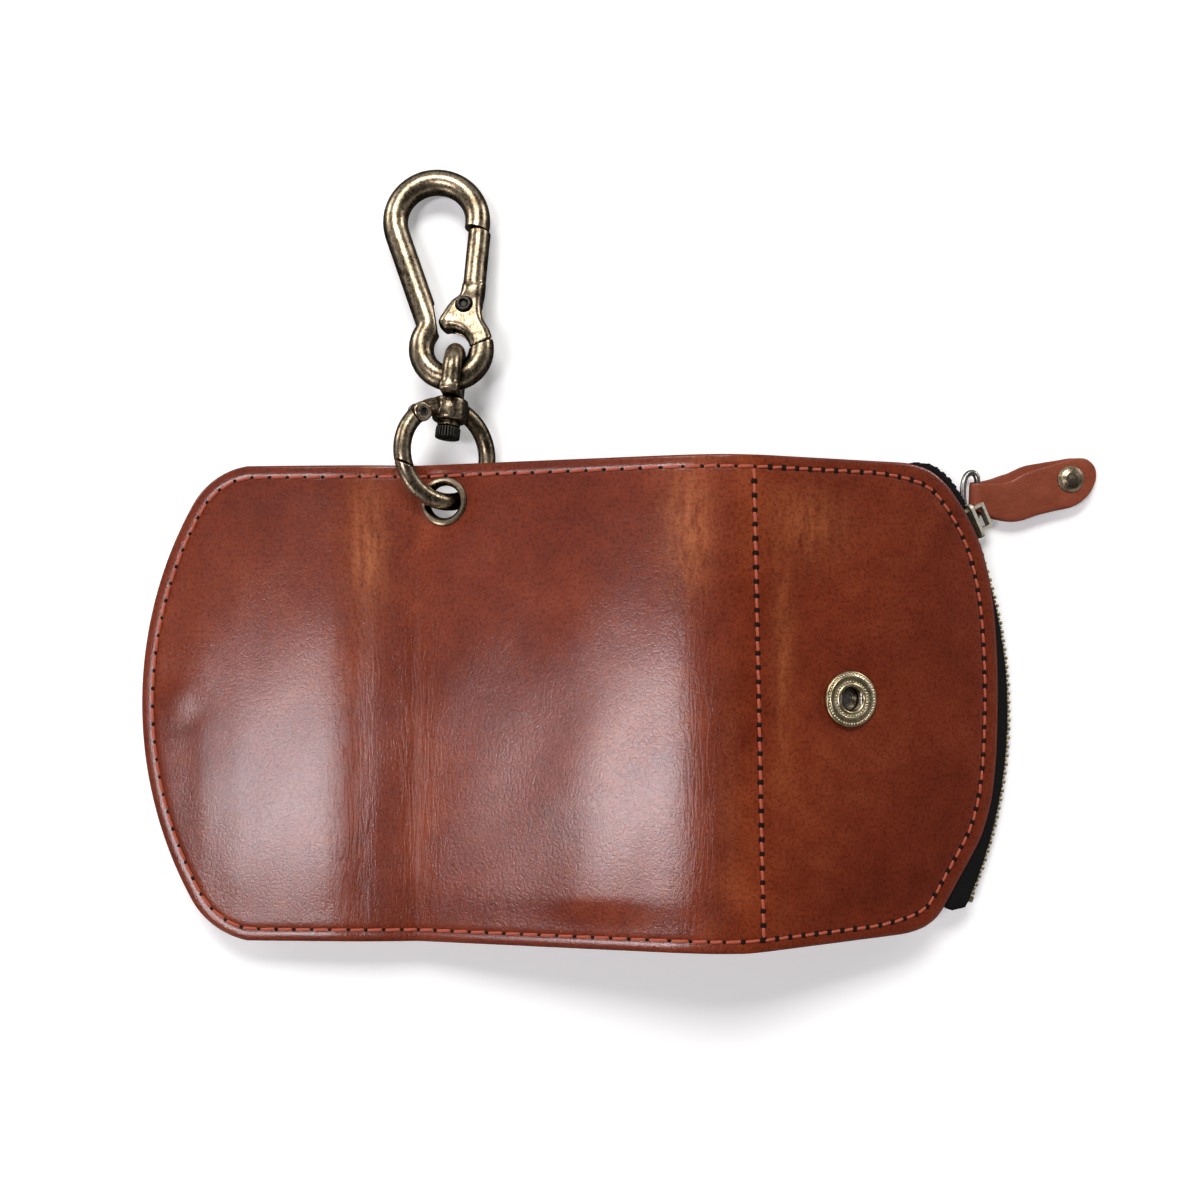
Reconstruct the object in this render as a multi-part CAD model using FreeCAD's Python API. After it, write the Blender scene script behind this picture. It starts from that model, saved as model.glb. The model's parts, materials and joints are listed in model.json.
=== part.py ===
import FreeCAD, Part
import math
import os

# Trifold leather key case, lying open with its outer face up.
# Millimetres. +X runs from the flap to the zip pocket, +Y to the hook end, +Z up.

V = FreeCAD.Vector
os.makedirs("parts", exist_ok=True)

# ---------------------------------------------------------------- driving dimensions
half_height = 52.3          # half the height of the leather sheet
lining_t = 0.9              # lining leather
outer_t = 1.3               # outer leather
sheet_t = lining_t + outer_t

flap_len = 47.36            # flap, from its fold to the rounded end
spine_left_len = 14.8
center_len = 62.1
spine_right_len = 10.0
fold_left_x, fold_left_z = -39.6, 6.3       # fold between left spine and centre, inner face
tilt_flap = 3.03            # slopes at rest, degrees, positive rises to +X
tilt_spine_left = 1.94
tilt_center = 13.5
tilt_spine_right = 0.0
tilt_pocket = -17.0
fold_gap = 0.25             # half gap between neighbouring panels at a fold

zip_cx, zip_cy = -28.8, -2.0                # centre of the zip's arc in the pocket panel's own plane
pocket_floor_t = 1.0
pocket_depth = 3.4          # gap between the pocket walls at the zip
pocket_flat_from = 40.0     # the pocket back runs parallel to the front beyond this

eyelet_xi, eyelet_y = 6.11, 44.2
eyelet_r_in, eyelet_r_out = 3.55, 5.3

ring_R, ring_r = 10.5, 1.9
ring_tilt = 35.0            # the ring leans so that its right half passes behind the leather
boss_angle = 83.0
boss_r = 3.4
ring_hinge_angle, ring_nose_angle = 127.0, 198.0
loop_R, loop_r = 5.4, 2.0
loop_center = 17.2          # centre of the loop's bow, from the ring centre
eye_center = 23.3           # centre of the carabiner's lower eye, from the ring centre

hook_r = 2.65               # carabiner wire radius
hook_eye_R = 6.35
hook_neck_R = 3.0          # fillet where the straight side swells into the eye
hook_side = 12.6            # slope of the straight side, degrees
hook_swing = 9.1            # radius about the gate's pin where gate and eye meet
hook_cheek = 2.35           # half thickness of the gate's cheeks
hook_top_R = 8.8
hook_top = (-0.21, 28.38)   # centre of the top bow in the carabiner's plane
hook_pivot = (3.78, 8.64)
hook_size = 1.045           # the finished carabiner against the outline drawn here
hook_hang = (-1.2, 0.3)     # the eye hangs off-centre on the swivel loop
hook_lean, hook_pitch = 6.7, 6.4

snap_xi, snap_y = 22.95, 1.0
stud_xi = -39.15

zip_mid = -0.8              # height of the zip's middle in the pocket panel
zip_web_r0, zip_web_r1 = 91.75, 92.25
tooth_r0, tooth_r1 = 92.25, 93.2
tooth_pitch = 2.0
slider_angle = 26.9
slider_travel = 50.0
bail_axis_r = 96.3
bail_r = 0.6
bail_half = 1.9
bail_len = 10.2
bail_dir = 88.0
tab_layer = 1.0

key_y = 33.0                # rod line of the key bar
key_rod_z = -3.1
key_pitch = 10.4
key_mid_xi = 36.0

NODES = {}


# ---------------------------------------------------------------- helpers
def place(origin, ex, ey, ez):
    m = FreeCAD.Matrix(
        ex.x, ey.x, ez.x, origin.x,
        ex.y, ey.y, ez.y, origin.y,
        ex.z, ey.z, ez.z, origin.z,
        0, 0, 0, 1,
    )
    return FreeCAD.Placement(m)


def panel(origin, tilt):
    a = math.radians(tilt)
    return place(origin, V(math.cos(a), 0, math.sin(a)), V(0, 1, 0), V(-math.sin(a), 0, math.cos(a)))


def moved(shape, pl):
    return shape.transformed(pl.toMatrix(), True)


def box(x0, x1, y0, y1, z0, z1):
    return Part.makeBox(x1 - x0, y1 - y0, z1 - z0, V(x0, y0, z0))


def cyl(p, d, r, length):
    return Part.makeCylinder(r, length, p, d)


def rod(p, q, r):
    return Part.makeCylinder(r, (q - p).Length, p, q - p)


def ball(p, r):
    return Part.makeSphere(r, p)


def fuse(shapes):
    s = shapes[0].multiFuse(shapes[1:]) if len(shapes) > 1 else shapes[0]
    return s.removeSplitter()


def one(shape):
    solids = shape.Solids
    return max(solids, key=lambda s: s.Volume) if len(solids) > 1 else solids[0]


def loop_face(edges, z):
    w = Part.Wire(edges)
    f = Part.Face(w)
    f.translate(V(0, 0, z))
    return f


def seg(a, b):
    return Part.LineSegment(V(a[0], a[1], 0), V(b[0], b[1], 0)).toShape()


def arc(a, m, b):
    return Part.Arc(V(a[0], a[1], 0), V(m[0], m[1], 0), V(b[0], b[1], 0)).toShape()


def free_curve(points, t0, t1):
    """A smooth curve through points, with its end directions."""
    c = Part.BSplineCurve()
    c.interpolate(Points=[V(x, y, 0) for x, y in points], InitialTangent=V(t0[0], t0[1], 0), FinalTangent=V(t1[0], t1[1], 0))
    return c.toShape()


def slab(edges, z0, z1):
    return loop_face(edges, z0).extrude(V(0, 0, z1 - z0))


def rev(points, a0=0.0, a1=360.0):
    """Turns a closed (r, z) outline about the Z axis."""
    e = [
        Part.LineSegment(V(p[0], 0, p[1]), V(q[0], 0, q[1])).toShape()
        for p, q in zip(points, points[1:] + points[:1])
    ]
    f = Part.Face(Part.Wire(e))
    if a0:
        f.rotate(V(0, 0, 0), V(0, 0, 1), a0)
    return f.revolve(V(0, 0, 0), V(0, 0, 1), a1 - a0)


def arc_tube(R, r, a0, a1):
    """A round bar bent about the Z axis from angle a0 to a1."""
    c = Part.Circle(V(R, 0, 0), V(0, 1, 0), r).toShape()
    f = Part.Face(Part.Wire([c]))
    f.rotate(V(0, 0, 0), V(0, 0, 1), a0)
    return f.revolve(V(0, 0, 0), V(0, 0, 1), a1 - a0)


def keep(name, shape):
    NODES[name] = shape


# ---------------------------------------------------------------- panels of the sheet
h2 = V(fold_left_x, 0, fold_left_z)
P_center = panel(h2, tilt_center)
h3 = P_center.multVec(V(center_len, 0, 0))
P_spine_right = panel(h3, tilt_spine_right)
h4 = P_spine_right.multVec(V(spine_right_len, 0, 0))
P_pocket = panel(h4, tilt_pocket)
P_spine_left = panel(h2, tilt_spine_left)       # runs to negative xi
h1 = P_spine_left.multVec(V(-spine_left_len, 0, 0))
P_flap = panel(h1, tilt_flap)                   # runs to negative xi

H = half_height


def rect(x0, x1):
    return [seg((x0, -H), (x1, -H)), seg((x1, -H), (x1, H)), seg((x1, H), (x0, H)), seg((x0, H), (x0, -H))]


flap_edges = [
    seg((-fold_gap, -H), (-fold_gap, H)),
    seg((-fold_gap, H), (-23.2, H)),
    arc((-23.2, H), (-31.05, 49.1), (-35.7, 43.8)),
    arc((-35.7, 43.8), (-flap_len, 1.4), (-35.7, -43.8)),
    arc((-35.7, -43.8), (-31.25, -48.75), (-23.2, -H)),
    seg((-23.2, -H), (-fold_gap, -H)),
]
pocket_end = [                                  # rounded end at the zip, fuller towards its upper corner
    (34.25, -50.2), (38.5, -49.65), (41.6, -48.65), (44.4, -46.8), (47.1, -43.2), (49.6, -39.2), (52.6, -34.6), (55.7, -29.2),
    (58.0, -22.2), (59.2, -14.0), (59.7, -4.85), (59.8, 3.5), (59.5, 12.5), (58.1, 25.1), (55.3, 35.1), (53.1, 39.6),
    (49.7, 44.7), (46.2, 48.6), (42.5, 51.0), (38.5, 52.05), (34.5, H),
]
pocket_edges = [
    seg((fold_gap, H), (fold_gap, -H)),
    seg((fold_gap, -H), (34.25, -50.2)),
    free_curve(pocket_end, (1, 0.062), (-1, 0)),
    seg((34.5, H), (fold_gap, H)),
]
sheets = [
    ("flap", flap_edges, P_flap),
    ("spine_left", rect(-spine_left_len + fold_gap, -0.45), P_spine_left),
    ("center", rect(0.45, center_len - fold_gap), P_center),
    ("spine_right", rect(fold_gap, spine_right_len - fold_gap), P_spine_right),
]
local = {}
for name, edges, pl in sheets:
    local["lining_" + name] = (slab(edges, 0, lining_t), pl)
    local["outer_leather_" + name] = (slab(edges, lining_t, sheet_t), pl)
local["outer_leather_pocket"] = (slab(pocket_edges, lining_t, sheet_t), P_pocket)

# eyelet hole through both leathers
eye_bore = cyl(V(eyelet_xi, eyelet_y, -1), V(0, 0, 1), 4.45, 5)
for n in ("lining_center", "outer_leather_center"):
    s, pl = local[n]
    local[n] = (s.cut(eye_bore), pl)

# the pocket back: a shallow tray, its rims sewn to the front on three sides, open at the zip
drop = pocket_depth
tray = slab(pocket_edges, -8, lining_t)
floor_line = [(-5, -0.1), (4.0, -0.1), (pocket_flat_from, -0.1 - drop), (70, -0.1 - drop)]
under = [V(x, -60, z) for x, z in floor_line] + [V(70, -60, -10), V(-5, -60, -10)]
tray = tray.cut(Part.Face(Part.makePolygon(under + under[:1])).extrude(V(0, 120, 0)))
rim = 1.3
top = [V(x, -H, z + pocket_floor_t) for x, z in floor_line[1:]] + [V(70, -H, 5), V(4.0, -H, 5)]
hollow = Part.Face(Part.makePolygon(top + top[:1])).extrude(V(0, 2 * H, 0))
inner_edges = [
    seg((0, H - rim), (0, -H + rim)),
    seg((0, -H + rim), (34.1, -50.2 + rim)),
    seg((34.1, -50.2 + rim), (44.0, -44.6)),
    seg((44.0, -44.6), (70, -44.6)),
    seg((70, -44.6), (70, 47.2)),
    seg((70, 47.2), (43.6, 47.2)),
    seg((43.6, 47.2), (36.6, H - rim)),
    seg((36.6, H - rim), (0, H - rim)),
]
hollow = hollow.common(slab(inner_edges, -8, 8))
local["pocket_back"] = (one(tray.cut(hollow)), P_pocket)

# ---------------------------------------------------------------- eyelet
mid = sheet_t / 2
prof = [(eyelet_r_in + 2.0 - math.sqrt(4.0 - h * h), h) for h in (1.6, 1.35, 1.1, 0.8, 0.4, 0, -0.4, -0.8, -1.1, -1.35, -1.5)]
front = prof + [(4.4, -1.5), (4.4, 1.1), (eyelet_r_out, 1.1), (eyelet_r_out - 0.1, 1.4), (eyelet_r_out - 0.45, 1.65)]
off_eye = V(eyelet_xi, eyelet_y, mid)
s = rev(front)
s.translate(off_eye)
local["eyelet_front"] = (s, P_center)
s = rev([(4.45, -1.1), (4.45, -1.55), (4.9, -1.65), (eyelet_r_out, -1.3), (eyelet_r_out, -1.1)])
s.translate(off_eye)
local["eyelet_washer"] = (s, P_center)

# ---------------------------------------------------------------- snap: socket on the pocket, stud on the flap
snap_hole = cyl(V(snap_xi, snap_y, 0), V(0, 0, 1), 2.95, 4)
s, pl = local["outer_leather_pocket"]
local["outer_leather_pocket"] = (s.cut(snap_hole), pl)
socket = rev([
    (2.6, 1.2), (2.9, 1.2), (2.9, 2.2), (6.0, 2.2), (6.05, 2.75), (5.7, 3.35), (5.1, 3.5), (4.0, 3.4),
    (3.7, 3.75), (3.0, 3.85), (2.6, 3.6), (2.6, 3.2), (3.3, 3.1), (3.3, 2.55), (2.6, 2.5),
])
socket.translate(V(snap_xi, snap_y, 0))
local["snap_socket"] = (socket, P_pocket)
sp = []
for sgn in (-1, 1):
    sp.append(rod(V(sgn * 2.42, -2.0, 2.83), V(sgn * 2.42, 2.0, 2.83), 0.22))
springs = Part.makeCompound(sp)
springs.translate(V(snap_xi, snap_y, 0))
local["snap_socket_spring"] = (springs, P_pocket)
cap = rev([(0, 0.15), (5.2, 0.15), (5.2, 0.9), (2.9, 0.9), (2.9, 0.6), (2.55, 0.6), (2.55, 0.75), (0, 0.75)])
cap.translate(V(snap_xi, snap_y, 0))
local["snap_socket_cap"] = (cap, P_pocket)

stud = rev([
    (1.0, 0), (5.0, 0), (5.0, -0.25), (4.6, -0.5), (1.75, -0.6), (1.75, -1.75), (2.1, -2.15), (2.1, -2.65), (1.6, -3.1),
    (0, -3.25), (0, -1.2), (1.0, -1.2),
])
stud.translate(V(stud_xi, snap_y, 0))
local["snap_stud"] = (stud, P_flap)
post = fuse([cyl(V(0, 0, -1.1), V(0, 0, 1), 0.9, 2.0), cyl(V(0, 0, lining_t), V(0, 0, 1), 3.6, 0.5)])
post.translate(V(stud_xi, snap_y, 0))
local["snap_stud_post"] = (post, P_flap)
s, pl = local["lining_flap"]
local["lining_flap"] = (s.cut(cyl(V(stud_xi, snap_y, -1), V(0, 0, 1), 0.95, 3)), pl)
s, pl = local["outer_leather_flap"]
local["outer_leather_flap"] = (s.cut(cyl(V(stud_xi, snap_y, 0), V(0, 0, 1), 3.7, lining_t + 0.55)), pl)

# ---------------------------------------------------------------- key bar under the centre panel
k0 = key_mid_xi - 23.0
k1 = key_mid_xi + 23.0
rivet_xi = (key_mid_xi - 19.5, key_mid_xi + 19.5)
plate = box(k0, k1, key_y - 4.5, key_y + 4.5, -0.8, 0)
ears = []
for x in (k0, k1 - 0.9):
    e = box(x, x + 0.9, key_y - 2.2, key_y + 2.2, key_rod_z, -0.8).fuse(cyl(V(x, key_y, key_rod_z), V(1, 0, 0), 2.2, 0.9))
    ears.append(e.cut(cyl(V(x - 1, key_y, key_rod_z), V(1, 0, 0), 0.85, 3)))
plate = fuse([plate] + ears)
rv, rv_holes = [], []
for x in rivet_xi:
    for y in (key_y + 2.6,):
        rv.append(fuse([
            cyl(V(x, y, -1.2), V(0, 0, 1), 1.7, 0.4),
            cyl(V(x, y, -0.8), V(0, 0, 1), 0.9, 1.7),
            cyl(V(x, y, lining_t), V(0, 0, 1), 2.0, 0.4),
        ]))
        rv_holes.append(cyl(V(x, y, -3), V(0, 0, 1), 0.95, 3.9))
        s, pl = local["outer_leather_center"]
        local["outer_leather_center"] = (s.cut(cyl(V(x, y, 0), V(0, 0, 1), 2.1, lining_t + 0.45)), pl)
for h in rv_holes:
    plate = plate.cut(h)
    s, pl = local["lining_center"]
    local["lining_center"] = (s.cut(h), pl)
local["key_plate"] = (plate, P_center)
local["key_plate_rivets"] = (Part.makeCompound(rv), P_center)
pin = fuse([
    cyl(V(k0 - 0.5, key_y, key_rod_z), V(1, 0, 0), 0.8, k1 - k0 + 1.0),
    cyl(V(k0 - 0.9, key_y, key_rod_z), V(1, 0, 0), 1.25, 0.6),
    cyl(V(k1 + 0.3, key_y, key_rod_z), V(1, 0, 0), 1.25, 0.6),
])
local["key_rod"] = (pin, P_center)


def key_hook(x):
    """A flat wire hook: an eye about the rod, a short stem and a long bow with a spring-in mouth."""
    w = 0.8
    eye = cyl(V(x - 1.1, 0, 0), V(1, 0, 0), 1.95, 2.2)
    half = 3.3
    y_top, y_bot = -6.2, -19.5
    stem = rod(V(x, -1.2, 0), V(x, y_top + half, 0), w)
    path = Part.Wire([
        seg(V(x + half, -9.9, 0), V(x + half, y_bot, 0)),
        Part.Arc(V(x + half, y_bot, 0), V(x, y_bot - half, 0), V(x - half, y_bot, 0)).toShape(),
        seg(V(x - half, y_bot, 0), V(x - half, y_top, 0)),
        Part.Arc(V(x - half, y_top, 0), V(x, y_top + half, 0), V(x + half, y_top, 0)).toShape(),
        seg(V(x + half, y_top, 0), V(x + half, -9.0, 0)),
    ])
    bow = Part.BRepOffsetAPI.MakePipeShell(path)
    bow.add(Part.Wire([Part.Circle(V(x + half, -9.9, 0), V(0, -1, 0), w).toShape()]))
    bow.build()
    bow.makeSolid()
    s = fuse([eye, stem, bow.shape()])
    s = s.cut(cyl(V(x - 2, 0, 0), V(1, 0, 0), 0.86, 4))
    s.translate(V(0, key_y, key_rod_z))
    return s


key_xi = [key_mid_xi + key_pitch * (i - 1.5) for i in range(4)]
for i, x in enumerate(key_xi):
    local["key_hook_%d" % (i + 1)] = (key_hook(x), P_center)

# ---------------------------------------------------------------- zip along the rounded end of the pocket
ZIP0, ZIP1 = -27.2, 28.1
off_zip = V(zip_cx, zip_cy, 0)
z_top, z_low = lining_t, -0.1 - drop + pocket_floor_t


def ring_piece(points, a0, a1):
    s = rev(points, a0, a1)
    s.translate(off_zip)
    return s


def tape(z_wall, z_leg, z_edge):
    leg = ring_piece([(85.5, z_wall), (zip_web_r1, z_wall), (zip_web_r1, z_leg), (85.5, z_leg)], ZIP0, 30.6)
    web = ring_piece([(zip_web_r0, z_wall), (zip_web_r1, z_wall), (zip_web_r1, z_edge), (zip_web_r0, z_edge)], ZIP0, ZIP1)
    return one(fuse([leg, web]))


local["zipper_tape_upper"] = (tape(z_top, z_top - 0.5, zip_mid + 0.25), P_pocket)
local["zipper_tape_lower"] = (tape(z_low, z_low + 0.5, zip_mid - 0.25), P_pocket)
step = math.degrees(tooth_pitch / tooth_r1)
wide = math.degrees(0.9 / tooth_r1)
upper, lower = [], []
a = -26.0
while a + step < ZIP1 - 0.2:
    upper.append(ring_piece([(tooth_r0, zip_mid - 0.2), (tooth_r1, zip_mid - 0.2), (tooth_r1, zip_mid + 0.7), (tooth_r0, zip_mid + 0.7)], a, a + wide))
    b = a + step / 2
    lower.append(ring_piece([(tooth_r0, zip_mid - 0.7), (tooth_r1, zip_mid - 0.7), (tooth_r1, zip_mid + 0.2), (tooth_r0, zip_mid + 0.2)], b, b + wide))
    a += step
local["zipper_teeth_upper"] = (Part.makeCompound(upper), P_pocket)
local["zipper_teeth_lower"] = (Part.makeCompound(lower), P_pocket)
local["zipper_bottom_stop"] = (ring_piece([(tooth_r0, zip_mid - 0.9), (tooth_r1, zip_mid - 0.9), (tooth_r1, zip_mid + 0.9), (tooth_r0, zip_mid + 0.9)], -27.0, -26.2), P_pocket)

P_zip = P_pocket.multiply(FreeCAD.Placement(off_zip, FreeCAD.Rotation()))
P_slider = P_zip.multiply(FreeCAD.Placement(V(0, 0, 0), FreeCAD.Rotation(V(0, 0, 1), slider_angle)))
zm = zip_mid
plate_front = box(93.5, 94.3, -4.0, 4.0, zm - 2.1, zm + 2.1)
corner = [e for e in plate_front.Edges if abs(e.Vertexes[0].X - e.Vertexes[1].X) > 0.5]
plate_front = plate_front.makeFillet(1.2, corner)
slider = fuse([
    plate_front,
    box(90.4, 91.45, -3.4, 3.7, zm - 0.95, zm + 0.95),
    box(91.4, 93.6, 2.4, 3.6, zm - 0.5, zm + 0.5),
    box(94.2, 97.8, -2.9, -2.2, zm - 0.9, zm + 0.9),
    box(94.2, 97.8, 2.2, 2.9, zm - 0.9, zm + 0.9),
    box(97.1, 97.8, -2.9, 2.9, zm - 0.9, zm + 0.9),
])
local["zipper_slider"] = (slider, P_slider)

# wire loop of the slider: short bars along the pocket's normal, long bars along bail_d
ang = math.radians(slider_angle)
b0 = V(zip_cx + bail_axis_r * math.cos(ang), zip_cy + bail_axis_r * math.sin(ang), zm)
bd = V(math.cos(math.radians(bail_dir)), math.sin(math.radians(bail_dir)), 0)
up = V(0, 0, bail_half)
c = [b0 - up, b0 + up, b0 + up + bd * bail_len, b0 - up + bd * bail_len]
loop = [rod(c[i], c[(i + 1) % 4], bail_r) for i in range(4)] + [ball(p, bail_r) for p in c]
local["slider_bail"] = (fuse(loop), P_pocket)

# folded leather pull on the lower long bar of the loop
t_org = P_pocket.multVec(b0 - up + bd * 6.5)
t_y = P_pocket.Rotation.multVec(bd)
t_x = t_y.cross(V(0, 0, 1)).normalize()
t_z = t_x.cross(t_y)
P_tab = place(t_org, t_x, t_y, t_z)
tab_curve = [                                   # strap outline, bending slightly up from the loop
    (3.6, -3.2), (7.0, -3.9), (12.0, -3.7), (18.0, -2.7), (22.4, -0.8), (25.2, 1.9), (26.1, 4.7), (24.8, 7.2), (21.6, 8.3),
    (17.0, 8.0), (12.5, 6.9), (8.5, 5.5), (5.6, 3.9), (3.6, 3.2),
]
tab_edges = [
    seg((0, -2.8), (3.6, -3.2)), free_curve(tab_curve, (1, -0.12), (-1, -0.2)), seg((3.6, 3.2), (0, 2.8)), seg((0, 2.8), (0, -2.8)),
]
tab_rivet = (20.6, 2.8)
tab = fuse([slab(tab_edges, -tab_layer, tab_layer), cyl(V(0, -2.8, 0), V(0, 1, 0), bail_r + 0.08 + tab_layer, 5.6)])
tab = tab.cut(cyl(V(0, -5, 0), V(0, 1, 0), bail_r + 0.08, 10))
tab = tab.cut(cyl(V(tab_rivet[0], tab_rivet[1], -3), V(0, 0, 1), 1.05, 6))
local["pull_tab_leather"] = (tab, P_tab)
dome = rev([(0, -1.2), (1.0, -1.2), (1.0, tab_layer), (2.95, tab_layer), (2.9, tab_layer + 0.35), (2.3, tab_layer + 0.8), (1.3, tab_layer + 1.1), (0, tab_layer + 1.2)])
dome.translate(V(tab_rivet[0], tab_rivet[1], 0))
local["pull_tab_rivet"] = (dome, P_tab)
back = rev([(1.02, -tab_layer), (2.6, -tab_layer), (2.5, -tab_layer - 0.4), (1.02, -tab_layer - 0.45)])
back.translate(V(tab_rivet[0], tab_rivet[1], 0))
local["pull_tab_rivet_back"] = (back, P_tab)

# ---------------------------------------------------------------- spring gate ring through the eyelet
rt = math.radians(ring_tilt)
r_u = V(math.cos(rt), 0, -math.sin(rt))
r_n = V(math.sin(rt), 0, math.cos(rt))
eye_mid = P_center.multVec(off_eye)
ring_c = eye_mid + V(0, ring_R, 0)
P_ring = place(ring_c, r_u, V(0, 1, 0), r_n)
ha = math.radians(ring_hinge_angle)
hp = V(ring_R * math.cos(ha), ring_R * math.sin(ha), 0)
ba = math.radians(boss_angle)
be = V(math.cos(ba), math.sin(ba), 0)
Z1 = V(0, 0, 1)
body = fuse([
    arc_tube(ring_R, ring_r, ring_nose_angle - 6, 360 + ring_hinge_angle),
    cyl(hp - Z1 * 1.85, Z1, 2.15, 3.7),
    cyl(be * 6.0, be, boss_r, 6.2),
])
nose = V(ring_R * math.cos(math.radians(ring_nose_angle)), ring_R * math.sin(math.radians(ring_nose_angle)), 0)
nose_r = (nose - hp).Length
body = body.cut(cyl(hp - Z1 * 4, Z1, nose_r + 0.22, 8).common(ball(nose, 4.5)))
body = body.cut(cyl(hp - Z1 * 0.95, Z1, 2.6, 1.9))
body = body.cut(cyl(hp - Z1 * 3, Z1, 0.6, 6)).cut(cyl(be * 3, be, 1.58, 12))
local["gate_ring_body"] = (one(body), P_ring)
gate = arc_tube(ring_R, ring_r, ring_hinge_angle, ring_nose_angle + 8).common(cyl(hp - Z1 * 4, Z1, nose_r - 0.22, 8))
tongue = gate.common(cyl(hp - Z1 * 0.8, Z1, 5.0, 1.6)).fuse(cyl(hp - Z1 * 0.8, Z1, 2.0, 1.6))
arm = gate.cut(cyl(hp - Z1 * 3, Z1, 2.45, 6))
gate = fuse([arm, tongue])
gate = gate.cut(cyl(hp - Z1 * 3, Z1, 0.62, 6)).cut(cyl(hp + Z1 * 0.2, Z1, 1.55, 2))
local["gate_ring_gate"] = (one(gate), P_ring)
local["gate_ring_pin"] = (cyl(hp - Z1 * 1.85, Z1, 0.55, 3.7), P_ring)
coil = Part.makeTorus(1.15, 0.2, hp + Z1 * 0.5, Z1)
local["gate_ring_spring"] = (coil, P_ring)

# swivel loop: its plane stands upright, its shank turns in the ring's boss
l_x = P_ring.Rotation.multVec(be)
l_y = (V(0, 0, 1) - l_x * l_x.z).normalize()
l_z = l_x.cross(l_y)
P_loop = place(ring_c, l_x, l_y, l_z)
bow = arc_tube(loop_R, loop_r, -90, 90)
bow.translate(V(loop_center, 0, 0))
swivel = fuse([
    bow,
    cyl(V(13.0, loop_R, 0), V(1, 0, 0), loop_r, loop_center - 13.0),
    cyl(V(13.0, -loop_R, 0), V(1, 0, 0), loop_r, loop_center - 13.0),
    box(12.45, 13.75, -loop_R - 1.9, loop_R + 1.9, -1.95, 1.95),
    cyl(V(5.7, 0, 0), V(1, 0, 0), 1.5, 7.0),
])
local["swivel_loop"] = (one(swivel), P_loop)
head = rev([(0, 3.4), (1.6, 3.5), (2.4, 4.1), (2.6, 4.8), (2.6, 5.7), (0, 5.7)])
head = moved(head, place(V(0, 0, 0), V(0, 1, 0), V(0, 0, 1), V(1, 0, 0)))
local["swivel_shank_head"] = (head, P_loop)

# ---------------------------------------------------------------- carabiner
lean, pitch = math.radians(hook_lean), math.radians(hook_pitch)
k_y = V(-math.sin(lean) * math.cos(pitch), math.cos(lean) * math.cos(pitch), -math.sin(pitch))
k_x = k_y.cross(V(0, 0, 1)).normalize()
k_z = k_x.cross(k_y)
eye_c = ring_c + l_x * eye_center + V(hook_hang[0], hook_hang[1], 0)
P_hook = place(eye_c, k_x, k_y, k_z)
t1 = V(hook_top[0], hook_top[1], 0)


def on(cen, R, deg):
    return cen + V(math.cos(math.radians(deg)), math.sin(math.radians(deg)), 0) * R


# the left side runs straight down from the top bow, then swells out over a small fillet into the eye
O0 = V(0, 0, 0)
side = math.radians(hook_side)
side_n = V(-math.cos(side), -math.sin(side), 0)
side_d = V(math.sin(side), -math.cos(side), 0)
side_0 = t1 + side_n * hook_top_R
lo, hi = 5.0, 24.0
for _ in range(60):
    mid = 0.5 * (lo + hi)
    if (side_0 + side_d * mid + side_n * hook_neck_R).Length > hook_eye_R + hook_neck_R:
        lo = mid
    else:
        hi = mid
neck_p = side_0 + side_d * lo
neck_c = neck_p + side_n * hook_neck_R
neck_q = neck_c * (hook_eye_R / neck_c.Length)
neck_m = neck_c + ((neck_p - neck_c).normalize() + (neck_q - neck_c).normalize()).normalize() * hook_neck_R
spine = Part.Wire([
    Part.Arc(on(t1, hook_top_R, -19), on(t1, hook_top_R, 80), side_0).toShape(),
    Part.LineSegment(side_0, neck_p).toShape(),
    Part.Arc(neck_p, neck_m, neck_q).toShape(),
    Part.Arc(neck_q, on(O0, hook_eye_R, 266), on(O0, hook_eye_R, 384)).toShape(),
])
start = on(t1, hook_top_R, -19)
tang = V(math.sin(math.radians(19)), math.cos(math.radians(19)), 0)
pipe = Part.BRepOffsetAPI.MakePipeShell(spine)
pipe.add(Part.Wire([Part.Circle(start, tang, hook_r).toShape()]))
pipe.build()
pipe.makeSolid()
main_bar = pipe.shape()
kp = V(hook_pivot[0], hook_pivot[1], 0)


def poly(points, h):
    e = [seg(p, q) for p, q in zip(points, points[1:] + points[:1])]
    return slab(e, -h, h)


# the eye's end and the gate meet on an arc about the gate's pin; a flat on the left side faces the gate's beak
def half_plane(o, d, n, deep):
    q = [o - d * 12, o + d * 12, o + d * 12 + n * deep, o - d * 12 + n * deep]
    return [(v.x, v.y) for v in q]


eye_cut = cyl(kp - Z1 * 4, Z1, hook_swing + 0.3, 8).common(box(2.5, 14, -3, 12, -4, 4))
hook_body = main_bar.cut(eye_cut).cut(poly([(-2.9, 10.5), (-2.6, 4.2), (-2.2, 3.0), (2.4, 3.0), (2.4, 10.9)], 4))
hook_body = hook_body.multiFuse([
    poly([(4.9, -2.6), (7.8, -2.6), (7.7, 2.0), (5.9, 8.9), (2.0, 7.6), (4.7, 2.0)], 1.0),
    cyl(kp - Z1, Z1, 2.2, 2.0),
])
hook_body = hook_body.cut(cyl(kp - Z1 * 4, Z1, 0.95, 8)).cut(cyl(kp + Z1 * 0.3, Z1, 1.85, 4))
local["carabiner_body"] = (one(hook_body), P_hook)
g_up = (V(8.05, 25.1, 0) - kp).normalize()
eye_edge = [(3.8 * math.cos(math.radians(d)), 3.8 * math.sin(math.radians(d))) for d in (100, 85, 70, 55, 40, 25, 10, -5, -20)]
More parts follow.
